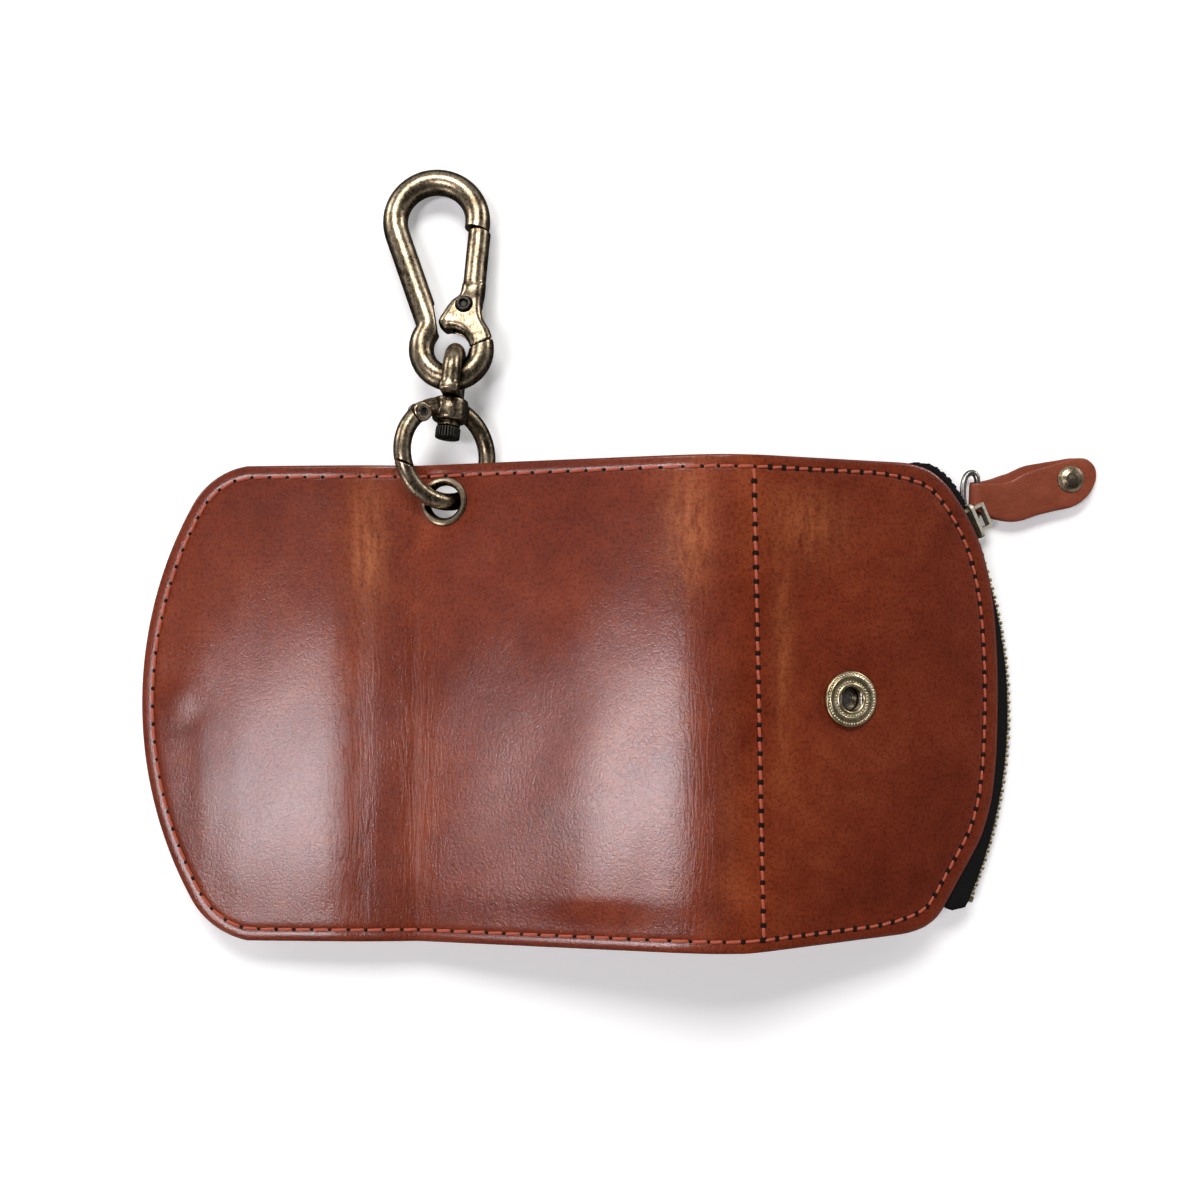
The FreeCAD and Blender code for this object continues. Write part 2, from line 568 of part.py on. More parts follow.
gate_outline = [
    (3.75, 12.2), (3.2, 11.4), (1.42, 10.32), (0.3, 9.15), (-0.785, 7.8), (-1.6, 6.75), (-2.0, 6.1), (-2.0, 5.5), (-1.75, 5.0), (-1.3, 4.4),
] + eye_edge + [
    (4.6, -2.4), (9.0, -0.2), (8.93, 1.1), (8.8, 2.0), (8.46, 3.08), (7.9, 4.3), (7.5, 5.3), (7.36, 6.4), (7.42, 7.9), (7.75, 10.5), (8.1, 12.2),
]
bar_0, bar_1 = V(5.7, 10.4, 0), V(9.0, 26.6, 0)
hook_gate = fuse([poly(gate_outline, hook_cheek), rod(bar_0, bar_1, 2.3)])
top_cut = half_plane(kp + g_up * 16.95, V(-g_up.y, g_up.x, 0), g_up, 8)
low_cut = box(2.5, 14, -6, 3, -4, 4).cut(cyl(kp - Z1 * 4, Z1, hook_swing, 8))
hook_gate = hook_gate.cut(poly(top_cut, 4)).cut(low_cut)
hook_gate = hook_gate.cut(cyl(kp - Z1 * 1.2, Z1, 2.85, 2.4))
hook_gate = hook_gate.cut(box(kp.x - 3.0, kp.x + 8.0, -3.0, kp.y, -1.2, 1.2))
hook_gate = hook_gate.cut(cyl(kp - Z1 * 4, Z1, 0.97, 8))
local["carabiner_gate"] = (one(hook_gate), P_hook)
hpin = fuse([cyl(kp - Z1 * 2.7, Z1, 0.9, 5.4), cyl(kp - Z1 * 2.8, Z1, 1.6, 0.35), cyl(kp + Z1 * 2.45, Z1, 1.6, 0.35)])
local["carabiner_pin"] = (hpin, P_hook)
local["carabiner_spring"] = (Part.makeTorus(1.4, 0.28, kp + Z1 * 0.65, Z1), P_hook)
for n in ("carabiner_body", "carabiner_gate", "carabiner_pin", "carabiner_spring"):
    grown = local[n][0].copy()
    grown.scale(hook_size)
    local[n] = (grown, P_hook)
kp = kp * hook_size

# ---------------------------------------------------------------- stitching
inset = 2.35


def run(edges, side):
    """Inset polyline of an open chain of edges; side is +1 to shift to the left of travel."""
    pts = []
    for e in edges:
        n = max(2, int(e.Length / 0.5))
        q = e.discretize(n)
        if pts and (q[0] - pts[-1]).Length > (q[-1] - pts[-1]).Length:
            q.reverse()
        if not pts and len(edges) > 1:
            nxt = edges[1].Vertexes
            if min((q[-1] - v.Point).Length for v in nxt) > 1e-6:
                q.reverse()
        pts += q if not pts else q[1:]
    out = []
    for i, p in enumerate(pts):
        t = pts[min(i + 1, len(pts) - 1)] - pts[max(i - 1, 0)]
        t.normalize()
        out.append(p + V(-t.y, t.x, 0) * (inset * side))
    return out


def stitches(path, pitch, thick=0.7):
    total = sum((b - a).Length for a, b in zip(path, path[1:]))
    count = max(1, int(round(total / pitch)))
    pitch = total / count
    spots, acc, i = [], 0.0, 0
    for k in range(count):
        for target in (pitch * (k + 0.16), pitch * (k + 0.84)):
            while i < len(path) - 2 and acc + (path[i + 1] - path[i]).Length < target:
                acc += (path[i + 1] - path[i]).Length
                i += 1
            d = path[i + 1] - path[i]
            spots.append(path[i] + d * ((target - acc) / d.Length))
    out = []
    for a, b in zip(spots[0::2], spots[1::2]):
        d = b - a
        m = box(0, d.Length, -thick / 2, thick / 2, sheet_t, sheet_t + 0.3)
        m.rotate(V(0, 0, 0), V(0, 0, 1), math.degrees(math.atan2(d.y, d.x)))
        m.translate(a)
        out.append(m)
    return out


def straight(x0, x1, y):
    return [V(x0, y, 0), V(x1, y, 0)]


thread = {
    "flap": (stitches(run(flap_edges[1:], 1), 4.0), P_flap),
    "spine_left": ([], P_spine_left),
    "center": ([], P_center),
    "spine_right": ([], P_spine_right),
    "pocket": (stitches(run(pocket_edges[1:], 1), 3.3) + stitches([V(1.6, -H + 4.4, 0), V(2.0, H - 4.4, 0)], 3.0), P_pocket),
}
for y in (H - inset, -H + inset):
    thread["spine_left"][0].extend(stitches(straight(-spine_left_len + 0.4, -0.6, y), 4.0))
    thread["center"][0].extend(stitches(straight(0.6, center_len - 0.4, y), 4.0))
    thread["spine_right"][0].extend(stitches(straight(0.4, spine_right_len - 0.4, y), 4.0))
for n, (solids, pl) in thread.items():
    local["stitching_" + n] = (Part.makeCompound(solids), pl)

# ---------------------------------------------------------------- place everything and shift to the rest point
for n, (s, pl) in local.items():
    keep(n, moved(s, pl))

lo, hi = [1e9] * 3, [-1e9] * 3
for s in NODES.values():
    bb = s.optimalBoundingBox(True)
    for i, (p, q) in enumerate(((bb.XMin, bb.XMax), (bb.YMin, bb.YMax), (bb.ZMin, bb.ZMax))):
        lo[i] = min(lo[i], p)
        hi[i] = max(hi[i], q)
shift = V(-(lo[0] + hi[0]) / 2, -(lo[1] + hi[1]) / 2, -lo[2])
for n, s in NODES.items():
    s.translate(shift)
    s.exportStep("parts/%s.step" % n)
print("pieces", len(NODES), "box", [round(h - l, 2) for l, h in zip(lo, hi)], "low", [round(v, 2) for v in lo])
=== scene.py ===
import json
import math
import random

import bmesh
import bpy
import numpy as np
from mathutils import Matrix, Vector


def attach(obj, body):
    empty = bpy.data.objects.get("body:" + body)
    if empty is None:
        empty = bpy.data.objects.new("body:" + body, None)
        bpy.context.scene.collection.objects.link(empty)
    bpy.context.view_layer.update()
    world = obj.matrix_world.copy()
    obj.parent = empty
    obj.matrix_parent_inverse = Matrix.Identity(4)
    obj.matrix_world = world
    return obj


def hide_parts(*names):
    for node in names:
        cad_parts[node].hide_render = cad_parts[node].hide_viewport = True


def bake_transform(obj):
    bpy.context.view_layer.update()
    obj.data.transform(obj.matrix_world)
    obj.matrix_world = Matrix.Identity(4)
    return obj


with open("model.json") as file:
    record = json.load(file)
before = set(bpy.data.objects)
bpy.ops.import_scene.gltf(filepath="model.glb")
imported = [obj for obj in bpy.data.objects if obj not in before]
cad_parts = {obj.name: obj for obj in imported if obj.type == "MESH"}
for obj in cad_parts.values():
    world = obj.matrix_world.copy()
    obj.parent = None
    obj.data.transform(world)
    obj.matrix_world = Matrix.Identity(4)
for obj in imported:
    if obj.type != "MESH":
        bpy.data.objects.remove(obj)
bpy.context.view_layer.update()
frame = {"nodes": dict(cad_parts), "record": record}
rec = frame["record"]
joints = {j["name"]: j for j in rec["behaviour"]["joints"]}
scene = bpy.context.scene
rng = random.Random(7)

# Lengths below are in millimetres in the case's own frame, whose fold between the left spine and the centre panel is
# at x = -39.6, z = 6.3. W() carries a point to the shared frame, in metres.
H2 = np.array([-39.6, 0.0, 6.3])
OFF = np.array(joints["fold_left"]["pos_m"]) * 1000 - H2
OFF[1] = joints["ring_turn"]["pos_m"][1] * 1000 - 54.7


def W(p):
    return (np.asarray(p, float) + OFF) / 1000.0


# ------------------------------------------------------------------ camera, light, floor
cam = bpy.data.cameras.new("camera")
cam.sensor_width = 36.0
cam.lens = 36.0 * 1318.0 / 1200.0
cam.shift_y = 0.075
cam.clip_start = 0.01
cam_obj = bpy.data.objects.new("camera", cam)
cam_obj.location = W((0.0, 2.93, 298.0))
scene.collection.objects.link(cam_obj)
scene.camera = cam_obj
scene.view_settings.view_transform = "Standard"
scene.view_settings.look = "None"

world = bpy.data.worlds.new("studio")
scene.world = world
world.use_nodes = True
wt = world.node_tree
bg = wt.nodes["Background"]
bg.inputs["Strength"].default_value = 1.0
wc = wt.nodes.new("ShaderNodeTexCoord")
wx = wt.nodes.new("ShaderNodeSeparateXYZ")
wr_ = wt.nodes.new("ShaderNodeValToRGB")
wt.links.new(wc.outputs["Generated"], wx.inputs[0])
wt.links.new(wx.outputs["Z"], wr_.inputs["Fac"])
wt.links.new(wr_.outputs["Color"], bg.inputs["Color"])
sky = wr_.color_ramp.elements
sky[0].position, sky[0].color = 0.0, (0.03, 0.03, 0.03, 1)
sky[1].position, sky[1].color = 1.0, (0.035, 0.035, 0.038, 1)
for pos, c in ((0.02, 0.5), (0.30, 0.62), (0.50, 0.14), (0.70, 0.05)):
    e = sky.new(pos)
    e.color = (c, c, c, 1)


def area(name, loc, target, size, power, color=(1, 1, 1)):
    d = bpy.data.lights.new(name, "AREA")
    d.shape = "RECTANGLE"
    d.size, d.size_y = size
    d.energy = power
    d.color = color
    o = bpy.data.objects.new(name, d)
    o.location = loc
    v = Vector(target) - Vector(loc)
    o.rotation_euler = v.to_track_quat("-Z", "Y").to_euler()
    scene.collection.objects.link(o)
    return o


area("key", (-0.385, -0.13, 0.97), (-0.01, -0.03, 0.0), (0.17, 0.34), 4.0, (1.0, 0.95, 1.0))
area("top_back", (-0.10, 0.78, 1.0), (0.0, 0.0, 0.0), (0.6, 0.35), 10.5, (1.0, 0.985, 0.96))
area("side_back", (-1.45, 1.05, 0.50), (0.0, 0.0, 0.0), (0.7, 0.4), 10.0, (1.0, 0.985, 0.96))
area("side_front", (-1.2, -1.3, 0.50), (0.0, 0.0, 0.0), (0.6, 0.4), 5.0, (1.0, 0.985, 0.97))
area("side_right", (1.5, 1.1, 0.45), (0.0, 0.0, 0.0), (0.6, 0.4), 9.0, (1.0, 0.99, 0.98))


def mesh_object(name, verts, faces, smooth=True):
    me = bpy.data.meshes.new(name)
    me.from_pydata([tuple(v) for v in verts], [], [tuple(f) for f in faces])
    me.update()
    o = bpy.data.objects.new(name, me)
    scene.collection.objects.link(o)
    if smooth:
        me.polygons.foreach_set("use_smooth", [True] * len(me.polygons))
    return o


floor_mat = bpy.data.materials.new("floor_white")
floor_mat.use_nodes = True
fb = floor_mat.node_tree.nodes["Principled BSDF"]
fb.inputs["Base Color"].default_value = (0.93, 0.93, 0.93, 1)
fb.inputs["Roughness"].default_value = 0.9
fb.inputs["Specular IOR Level"].default_value = 0.0
fb.inputs["Emission Color"].default_value = (1, 1, 1, 1)
fb.inputs["Emission Strength"].default_value = 0.17
fl = mesh_object("floor", [(-3, -3, -0.0006), (3, -3, -0.0006), (3, 3, -0.0006), (-3, 3, -0.0006)], [(0, 1, 2, 3)], False)
fl.data.materials.append(floor_mat)
fl.visible_glossy = False


# ------------------------------------------------------------------ node material helpers
class Mat:
    def __init__(self, name):
        self.m = bpy.data.materials.new(name)
        self.m.use_nodes = True
        self.t = self.m.node_tree
        self.b = self.t.nodes["Principled BSDF"]

    def n(self, kind, **kw):
        node = self.t.nodes.new(kind)
        for k, v in kw.items():
            setattr(node, k, v)
        return node

    def link(self, a, b):
        self.t.links.new(a, b)

    def set(self, **kw):
        for k, v in kw.items():
            self.b.inputs[k.replace("_", " ")].default_value = v

    def noise(self, vec, scale, detail=4.0, rough=0.55, dist=0.0):
        x = self.n("ShaderNodeTexNoise")
        self.link(vec, x.inputs["Vector"])
        x.inputs["Scale"].default_value = scale
        x.inputs["Detail"].default_value = detail
        x.inputs["Roughness"].default_value = rough
        x.inputs["Distortion"].default_value = dist
        return x.outputs["Fac"]

    def voronoi(self, vec, scale, feature="F1", rand=1.0):
        x = self.n("ShaderNodeTexVoronoi", feature=feature)
        self.link(vec, x.inputs["Vector"])
        x.inputs["Scale"].default_value = scale
        x.inputs["Randomness"].default_value = rand
        return x.outputs["Distance"]

    def ramp(self, fac, stops):
        x = self.n("ShaderNodeValToRGB")
        self.link(fac, x.inputs["Fac"])
        e = x.color_ramp.elements
        while len(e) < len(stops):
            e.new(0.5)
        for el, (p, c) in zip(e, stops):
            el.position = p
            el.color = c if len(c) == 4 else (*c, 1.0)
        return x.outputs["Color"]

    def math(self, op, a, b=None, clamp=False):
        x = self.n("ShaderNodeMath", operation=op, use_clamp=clamp)
        for i, v in enumerate((a, b)):
            if v is None:
                continue
            if isinstance(v, (int, float)):
                x.inputs[i].default_value = v
            else:
                self.link(v, x.inputs[i])
        return x.outputs[0]

    def mix(self, fac, a, b, mode="MIX"):
        x = self.n("ShaderNodeMix", data_type="RGBA", blend_type=mode)
        for i, v in ((0, fac), (6, a), (7, b)):
            if isinstance(v, (int, float)):
                x.inputs[i].default_value = v
            elif isinstance(v, tuple):
                x.inputs[i].default_value = (*v, 1.0) if len(v) == 3 else v
            else:
                self.link(v, x.inputs[i])
        return x.outputs[2]

    def bump(self, height, strength, distance, normal=None):
        x = self.n("ShaderNodeBump")
        x.inputs["Strength"].default_value = strength
        x.inputs["Distance"].default_value = distance
        self.link(height, x.inputs["Height"])
        if normal is not None:
            self.link(normal, x.inputs["Normal"])
        return x.outputs["Normal"]

    def scaled(self, vec, s):
        x = self.n("ShaderNodeMapping")
        self.link(vec, x.inputs["Vector"])
        x.inputs["Scale"].default_value = s
        return x.outputs["Vector"]

    def attr(self, name):
        return self.n("ShaderNodeAttribute", attribute_name=name)


def leather_material(name, dark, mid, light, coat=0.62, rough=0.42, uv=True, grain=1.0, specks=0.75):
    """Glazed full-grain leather. UV is the flat sheet in decimetres, so the grain stays with the hide when it folds."""
    k = Mat(name)
    if uv:
        co = k.n("ShaderNodeUVMap", uv_map="flat").outputs["UV"]
    else:
        tc = k.n("ShaderNodeTexCoord").outputs["Object"]
        co = k.scaled(tc, (10.0, 10.0, 10.0))
    broad = k.noise(co, 3.2, 3.0, 0.55, 0.4)
    mottle = k.noise(co, 22.0, 5.0, 0.62, 0.2)
    tone = k.math("ADD", k.math("MULTIPLY", broad, 0.62), k.math("MULTIPLY", mottle, 0.38))
    base = k.ramp(tone, [(0.30, dark), (0.52, mid), (0.72, light)])
    # grain cells: pebbles of about 0.6 mm with finer pores in them
    warp = k.noise(co, 60.0, 2.0)
    wv = k.n("ShaderNodeVectorMath", operation="SCALE")
    comb = k.n("ShaderNodeCombineXYZ")
    k.link(warp, comb.inputs[0])
    k.link(k.noise(co, 71.0, 2.0), comb.inputs[1])
    k.link(comb.outputs[0], wv.inputs[0])
    wv.inputs["Scale"].default_value = 0.012
    add = k.n("ShaderNodeVectorMath", operation="ADD")
    k.link(co, add.inputs[0])
    k.link(wv.outputs[0], add.inputs[1])
    cells = k.voronoi(add.outputs[0], 150.0, "DISTANCE_TO_EDGE")
    cell_h = k.math("MINIMUM", k.math("MULTIPLY", cells, 5.0), 1.0)
    fine = k.noise(co, 420.0, 3.0, 0.6)
    # short soft wrinkles that run across the folds
    wr = k.noise(k.scaled(co, (70.0, 9.0, 1.0)), 1.0, 3.0, 0.5, 0.6)
    wr_line = k.math("SMOOTH_MIN", k.math("MULTIPLY", k.math("ABSOLUTE", k.math("SUBTRACT", wr, 0.5)), 9.0), 1.0)
    height = k.math("ADD", k.math("MULTIPLY", cell_h, 0.62), k.math("MULTIPLY", fine, 0.38))
    n1 = k.bump(height, 0.40 * grain, 0.00010)
    # crinkles: a net of fine creases 1 to 2 mm apart, pulled a little along the hide
    net = k.voronoi(k.scaled(add.outputs[0], (1.25, 0.85, 1.0)), 72.0, "DISTANCE_TO_EDGE")
    patchy = k.ramp(k.noise(co, 6.0, 2.0), [(0.35, (0.25, 0.25, 0.25)), (0.62, (1, 1, 1))])
    crease = k.math("MULTIPLY", k.math("MINIMUM", k.math("MULTIPLY", net, 7.0), 1.0), patchy)
    n1 = k.bump(crease, 0.20 * grain, 0.00016, n1)
    # the glaze fills most of the grain, so its own surface is shallower
    nc = k.bump(crease, 0.045 * grain, 0.00016, k.bump(fine, 0.085 * grain, 0.00010, k.bump(height, 0.085 * grain, 0.00010)))
    if uv:
        fold = k.attr("fold").outputs["Fac"]
        dents = k.noise(co, 9.0, 2.0, 0.5)
        hfold = k.math("MULTIPLY", wr_line, fold)
        n2 = k.bump(hfold, 0.14, 0.00030, n1)
        n2 = k.bump(dents, 0.12, 0.0004, n2)
        nc = k.bump(hfold, 0.12, 0.00030, nc)
        nc = k.bump(dents, 0.05, 0.0004, nc)
        # burnished, paler hide where it bends, and darker wax in the creases and along the painted edge
        base = k.mix(k.math("MULTIPLY", fold, k.math("MULTIPLY", k.ramp(broad, [(0.42, (0, 0, 0)), (0.66, (1, 1, 1))]), 0.28)), base, (light[0] * 1.45, light[1] * 1.7, light[2] * 1.8))
        # painted highlight: the paler patches on the upper ends of the folds lift the base colour towards a light tan;
        # on the pocket they are rubbed glaze
        rub_and_highlight = k.attr("rub_and_highlight").outputs["Fac"]
        base = k.mix(k.math("MULTIPLY", rub_and_highlight, k.ramp(k.noise(k.scaled(co, (60.0, 14.0, 1.0)), 1.0, 4.0, 0.6), [(0.30, (0.1, 0.1, 0.1)), (0.62, (1, 1, 1))])), base, (light[0] * 1.75, light[1] * 2.7, light[2] * 3.0))
        edge = k.attr("edge").outputs["Fac"]
        base = k.mix(k.math("MULTIPLY", edge, 0.35), base, (dark[0] * 0.62, dark[1] * 0.6, dark[2] * 0.6))
        # painted shade, darker towards the pocket's lower right and down the lower part of the right spine, broken up
        # by noise; and less glaze left on the folds
        painted_shade = k.attr("painted_shade").outputs["Fac"]
        base = k.mix(k.math("MULTIPLY", painted_shade, k.ramp(broad, [(0.30, (1, 1, 1)), (0.70, (0.45, 0.45, 0.45))])), base, (dark[0] * 0.62, dark[1] * 0.55, dark[2] * 0.6))
        k.link(k.math("SUBTRACT", coat, k.math("MULTIPLY", fold, 0.8 * coat)), k.b.inputs["Coat Weight"])
    else:
        n2 = n1
    pores = k.math("LESS_THAN", cells, 0.030)
    base = k.mix(k.math("MULTIPLY", pores, 0.30), base, (dark[0] * 0.7, dark[1] * 0.6, dark[2] * 0.6))
    speck = k.ramp(k.noise(co, 130.0, 4.0, 0.65), [(0.36, (0.46, 0.42, 0.40)), (0.52, (0.95, 0.95, 0.95)), (0.66, (1.0, 1.0, 1.0))])
    base = k.mix(specks, base, speck, "MULTIPLY")
    k.link(base, k.b.inputs["Base Color"])
    r = k.math("ADD", k.math("MULTIPLY", mottle, 0.20), rough - 0.10)
    k.link(r, k.b.inputs["Roughness"])
    k.link(n2, k.b.inputs["Normal"])
    k.link(nc, k.b.inputs["Coat Normal"])
    k.set(Specular_IOR_Level=0.12, Coat_Weight=coat, Coat_Roughness=0.165)
    return k.m


leather = leather_material("cognac_leather", (0.110, 0.0130, 0.0031), (0.186, 0.0268, 0.0070), (0.258, 0.050, 0.0155))
tab_leather = leather_material("cognac_strap", (0.15, 0.030, 0.015), (0.225, 0.052, 0.025), (0.29, 0.080, 0.042), 0.30, 0.42, uv=False, specks=0.22)


def lining_material():
    k = Mat("lining_split")
    co = k.n("ShaderNodeUVMap", uv_map="flat").outputs["UV"]
    broad = k.noise(co, 6.0, 4.0, 0.6, 0.5)
    nap = k.noise(co, 300.0, 4.0, 0.7)
    tone = k.math("ADD", k.math("MULTIPLY", broad, 0.6), k.math("MULTIPLY", nap, 0.4))
    k.link(k.ramp(tone, [(0.30, (0.085, 0.030, 0.014)), (0.55, (0.14, 0.052, 0.024)), (0.75, (0.20, 0.082, 0.042))]), k.b.inputs["Base Color"])
    k.link(k.bump(nap, 0.35, 0.0002), k.b.inputs["Normal"])
    k.set(Roughness=0.72, Sheen_Weight=0.25, Sheen_Roughness=0.5)
    return k.m


lining = lining_material()


def metal_material(name, dark, mid, bright, rough=0.30, wear=1.0, scratch=1.0):
    """Antiqued plate: dark in hollows and pits, rubbed bright on the high sides."""
    k = Mat(name)
    tc = k.n("ShaderNodeTexCoord").outputs["Object"]
    co = k.scaled(tc, (1000.0, 1000.0, 1000.0))
    patch = k.noise(co, 0.22, 5.0, 0.68, 0.8)
    pits = k.noise(co, 1.7, 6.0, 0.72, 0.3)
    lines = k.noise(k.scaled(co, (1.0, 0.16, 1.0)), 2.6, 4.0, 0.7)
    geo = k.n("ShaderNodeNewGeometry")
    edge = k.ramp(geo.outputs["Pointiness"], [(0.44, (0, 0, 0)), (0.56, (1, 1, 1))])
    ao = k.n("ShaderNodeAmbientOcclusion")
    ao.inputs["Distance"].default_value = 0.0022
    ao.samples = 8
    worn = k.math("ADD", k.math("MULTIPLY", patch, 0.55), k.math("MULTIPLY", pits, 0.45))
    worn = k.math("ADD", worn, k.math("MULTIPLY", k.math("SUBTRACT", edge, 0.5), 0.30 * wear))
    worn = k.math("ADD", worn, k.math("MULTIPLY", k.math("SUBTRACT", ao.outputs["AO"], 0.85), 0.35))
    worn = k.math("ADD", worn, k.math("MULTIPLY", k.math("SUBTRACT", lines, 0.5), 0.25 * scratch))
    k.link(k.ramp(worn, [(0.34, dark), (0.50, mid), (0.66, bright)]), k.b.inputs["Base Color"])
    k.link(k.math("ADD", k.math("MULTIPLY", pits, 0.28), rough - 0.10), k.b.inputs["Roughness"])
    h = k.math("ADD", k.math("MULTIPLY", pits, 0.7), k.math("MULTIPLY", lines, 0.3))
    k.link(k.bump(h, 0.22, 0.00006), k.b.inputs["Normal"])
    k.set(Metallic=1.0)
    return k.m


antique = metal_material("antique_brass", (0.013, 0.010, 0.007), (0.110, 0.081, 0.050), (0.42, 0.335, 0.232), 0.26)
pale = metal_material("pale_brass", (0.22, 0.165, 0.085), (0.52, 0.42, 0.25), (0.82, 0.72, 0.52), 0.28, 0.8, 0.5)
slider_brass = metal_material("slider_brass", (0.34, 0.29, 0.20), (0.66, 0.59, 0.44), (0.90, 0.85, 0.72), 0.42, 0.8, 0.5)
nickel = metal_material("nickel_plate", (0.33, 0.32, 0.30), (0.60, 0.59, 0.57), (0.80, 0.79, 0.77), 0.22, 0.5, 0.4)
black_steel = metal_material("black_steel", (0.008, 0.0075, 0.007), (0.022, 0.020, 0.018), (0.07, 0.062, 0.052), 0.34, 0.6, 0.5)
steel = metal_material("dark_steel", (0.03, 0.029, 0.028), (0.11, 0.105, 0.10), (0.36, 0.34, 0.32), 0.28, 0.8, 0.6)
gold = metal_material("zip_brass", (0.07, 0.045, 0.012), (0.30, 0.205, 0.07), (0.55, 0.42, 0.19), 0.30, 0.6, 0.3)


def thread_material():
    k = Mat("waxed_thread")
    co = k.n("ShaderNodeUVMap", uv_map="flat").outputs["UV"]
    ply = k.n("ShaderNodeTexWave", wave_type="BANDS", bands_direction="DIAGONAL")
    k.link(co, ply.inputs["Vector"])
    ply.inputs["Scale"].default_value = 2.2
    ply.inputs["Distortion"].default_value = 0.4
    k.link(k.ramp(ply.outputs["Fac"], [(0.15, (0.20, 0.022, 0.008)), (0.55, (0.44, 0.058, 0.018)), (0.95, (0.60, 0.12, 0.045))]), k.b.inputs["Base Color"])
    k.link(k.bump(ply.outputs["Fac"], 0.5, 0.00008), k.b.inputs["Normal"])
    k.set(Roughness=0.5, Sheen_Weight=0.15)
    return k.m


thread = thread_material()


# painted shade: near-black discs that stand in for the shade inside the needle holes
def painted_hole_shade_material():
    k = Mat("needle_hole_painted_shade")
    co = k.n("ShaderNodeTexCoord").outputs["Object"]
    k.link(k.ramp(k.noise(k.scaled(co, (1000, 1000, 1000)), 2.0), [(0.3, (0.006, 0.003, 0.002)), (0.7, (0.022, 0.008, 0.005))]), k.b.inputs["Base Color"])
    k.set(Roughness=0.85, Specular_IOR_Level=0.1)
    return k.m


hole_painted_shade = painted_hole_shade_material()


def tape_material():
    k = Mat("woven_tape")
    co = k.n("ShaderNodeUVMap", uv_map="flat").outputs["UV"]
    w1 = k.n("ShaderNodeTexWave", wave_type="BANDS", bands_direction="X")
    w2 = k.n("ShaderNodeTexWave", wave_type="BANDS", bands_direction="Y")
    for w, s in ((w1, 0.75), (w2, 0.75)):
        k.link(co, w.inputs["Vector"])
        w.inputs["Scale"].default_value = s
        w.inputs["Distortion"].default_value = 0.6
    weave = k.math("MAXIMUM", w1.outputs["Fac"], w2.outputs["Fac"])
    k.link(k.ramp(weave, [(0.2, (0.002, 0.002, 0.002)), (0.8, (0.011, 0.011, 0.012))]), k.b.inputs["Base Color"])
    k.link(k.bump(weave, 0.6, 0.0002), k.b.inputs["Normal"])
    k.set(Roughness=0.9, Specular_IOR_Level=0.06)
    return k.m


tape_black = tape_material()

# ------------------------------------------------------------------ the flat sheet and how it lies
# Flat coordinates: s along the case (0 at the fold between left spine and centre), y up the case, z out of the leather.
TILT = np.radians([3.03, 1.94, 13.5, 0.0, -17.0])
SH = np.array([-14.8, 0.0, 62.1, 72.1])
PH = np.zeros((4, 2))
PH[1] = (H2[0], H2[2])
PH[0] = PH[1] - 14.8 * np.array([math.cos(TILT[1]), math.sin(TILT[1])])
PH[2] = PH[1] + 62.1 * np.array([math.cos(TILT[2]), math.sin(TILT[2])])
PH[3] = PH[2] + np.array([10.0, 0.0])
FILLET = ((5.0, 4.0), (1.4, 1.8), (9.5, 4.8), (4.8, 5.5))


# the flap is a little crowned: it leaves the table at its rounded end and drops again over the fold
CROWN_S = np.linspace(-63.0, 0.0, 127)
crown_x = np.array([-63.0, -62.0, -55.0, -48.0, -40.0, -32.0, -25.0, -19.0, -14.0, -11.0, -9.0, -5.0, -1.0, 0.0])
crown_y = np.array([0.0, 0.02, 0.48, 0.86, 1.08, 1.16, 1.16, 1.12, 1.04, 0.94, 0.80, 0.42, 0.04, 0.0])
CROWN_Z = np.interp(CROWN_S, crown_x, crown_y)
for _ in range(4):
    CROWN_Z[1:-1] = 0.25 * CROWN_Z[:-2] + 0.5 * CROWN_Z[1:-1] + 0.25 * CROWN_Z[2:]


def flat_line(k, s):
    i = max(k - 1, 0)
    d = np.asarray(s, float)[..., None] - SH[i]
    return PH[i] + d * np.array([math.cos(TILT[k]), math.sin(TILT[k])])


def profile(s, fillet=FILLET):
    """Point (x, z) and unit tangent of the bent sheet at flat length s."""
    s = np.asarray(s, float)
    k = np.searchsorted(SH, s)
    p = np.zeros(s.shape + (2,))
    t = np.zeros(s.shape + (2,))
    for q in range(5):
        m = k == q
        p[m] = flat_line(q, s[m])
        t[m] = (math.cos(TILT[q]), math.sin(TILT[q]))
    for i, (a, b) in enumerate(fillet):
        m = (s > SH[i] - a) & (s < SH[i] + b)
        u = ((s[m] - SH[i] + a) / (a + b))[:, None]
        A, C = flat_line(i, np.array(SH[i] - a)), flat_line(i + 1, np.array(SH[i] + b))
        B = PH[i]
        p[m] = (1 - u) ** 2 * A + 2 * u * (1 - u) * B + u**2 * C
        d = 2 * (1 - u) * (B - A) + 2 * u * (C - B)
        t[m] = d / np.linalg.norm(d, axis=1)[:, None]
    return p, t


def lay(s, y, z, fillet=FILLET):
    """Flat coordinates to the shared frame, in metres."""
    s, y, z = np.broadcast_arrays(np.asarray(s, float), np.asarray(y, float), np.asarray(z, float))
    p, t = profile(s.ravel(), fillet)
    z = z.ravel() + np.interp(s.ravel(), CROWN_S, CROWN_Z)
    q = np.stack([p[:, 0] - z * t[:, 1], y.ravel(), p[:, 1] + z * t[:, 0]], 1)
    return W(q)


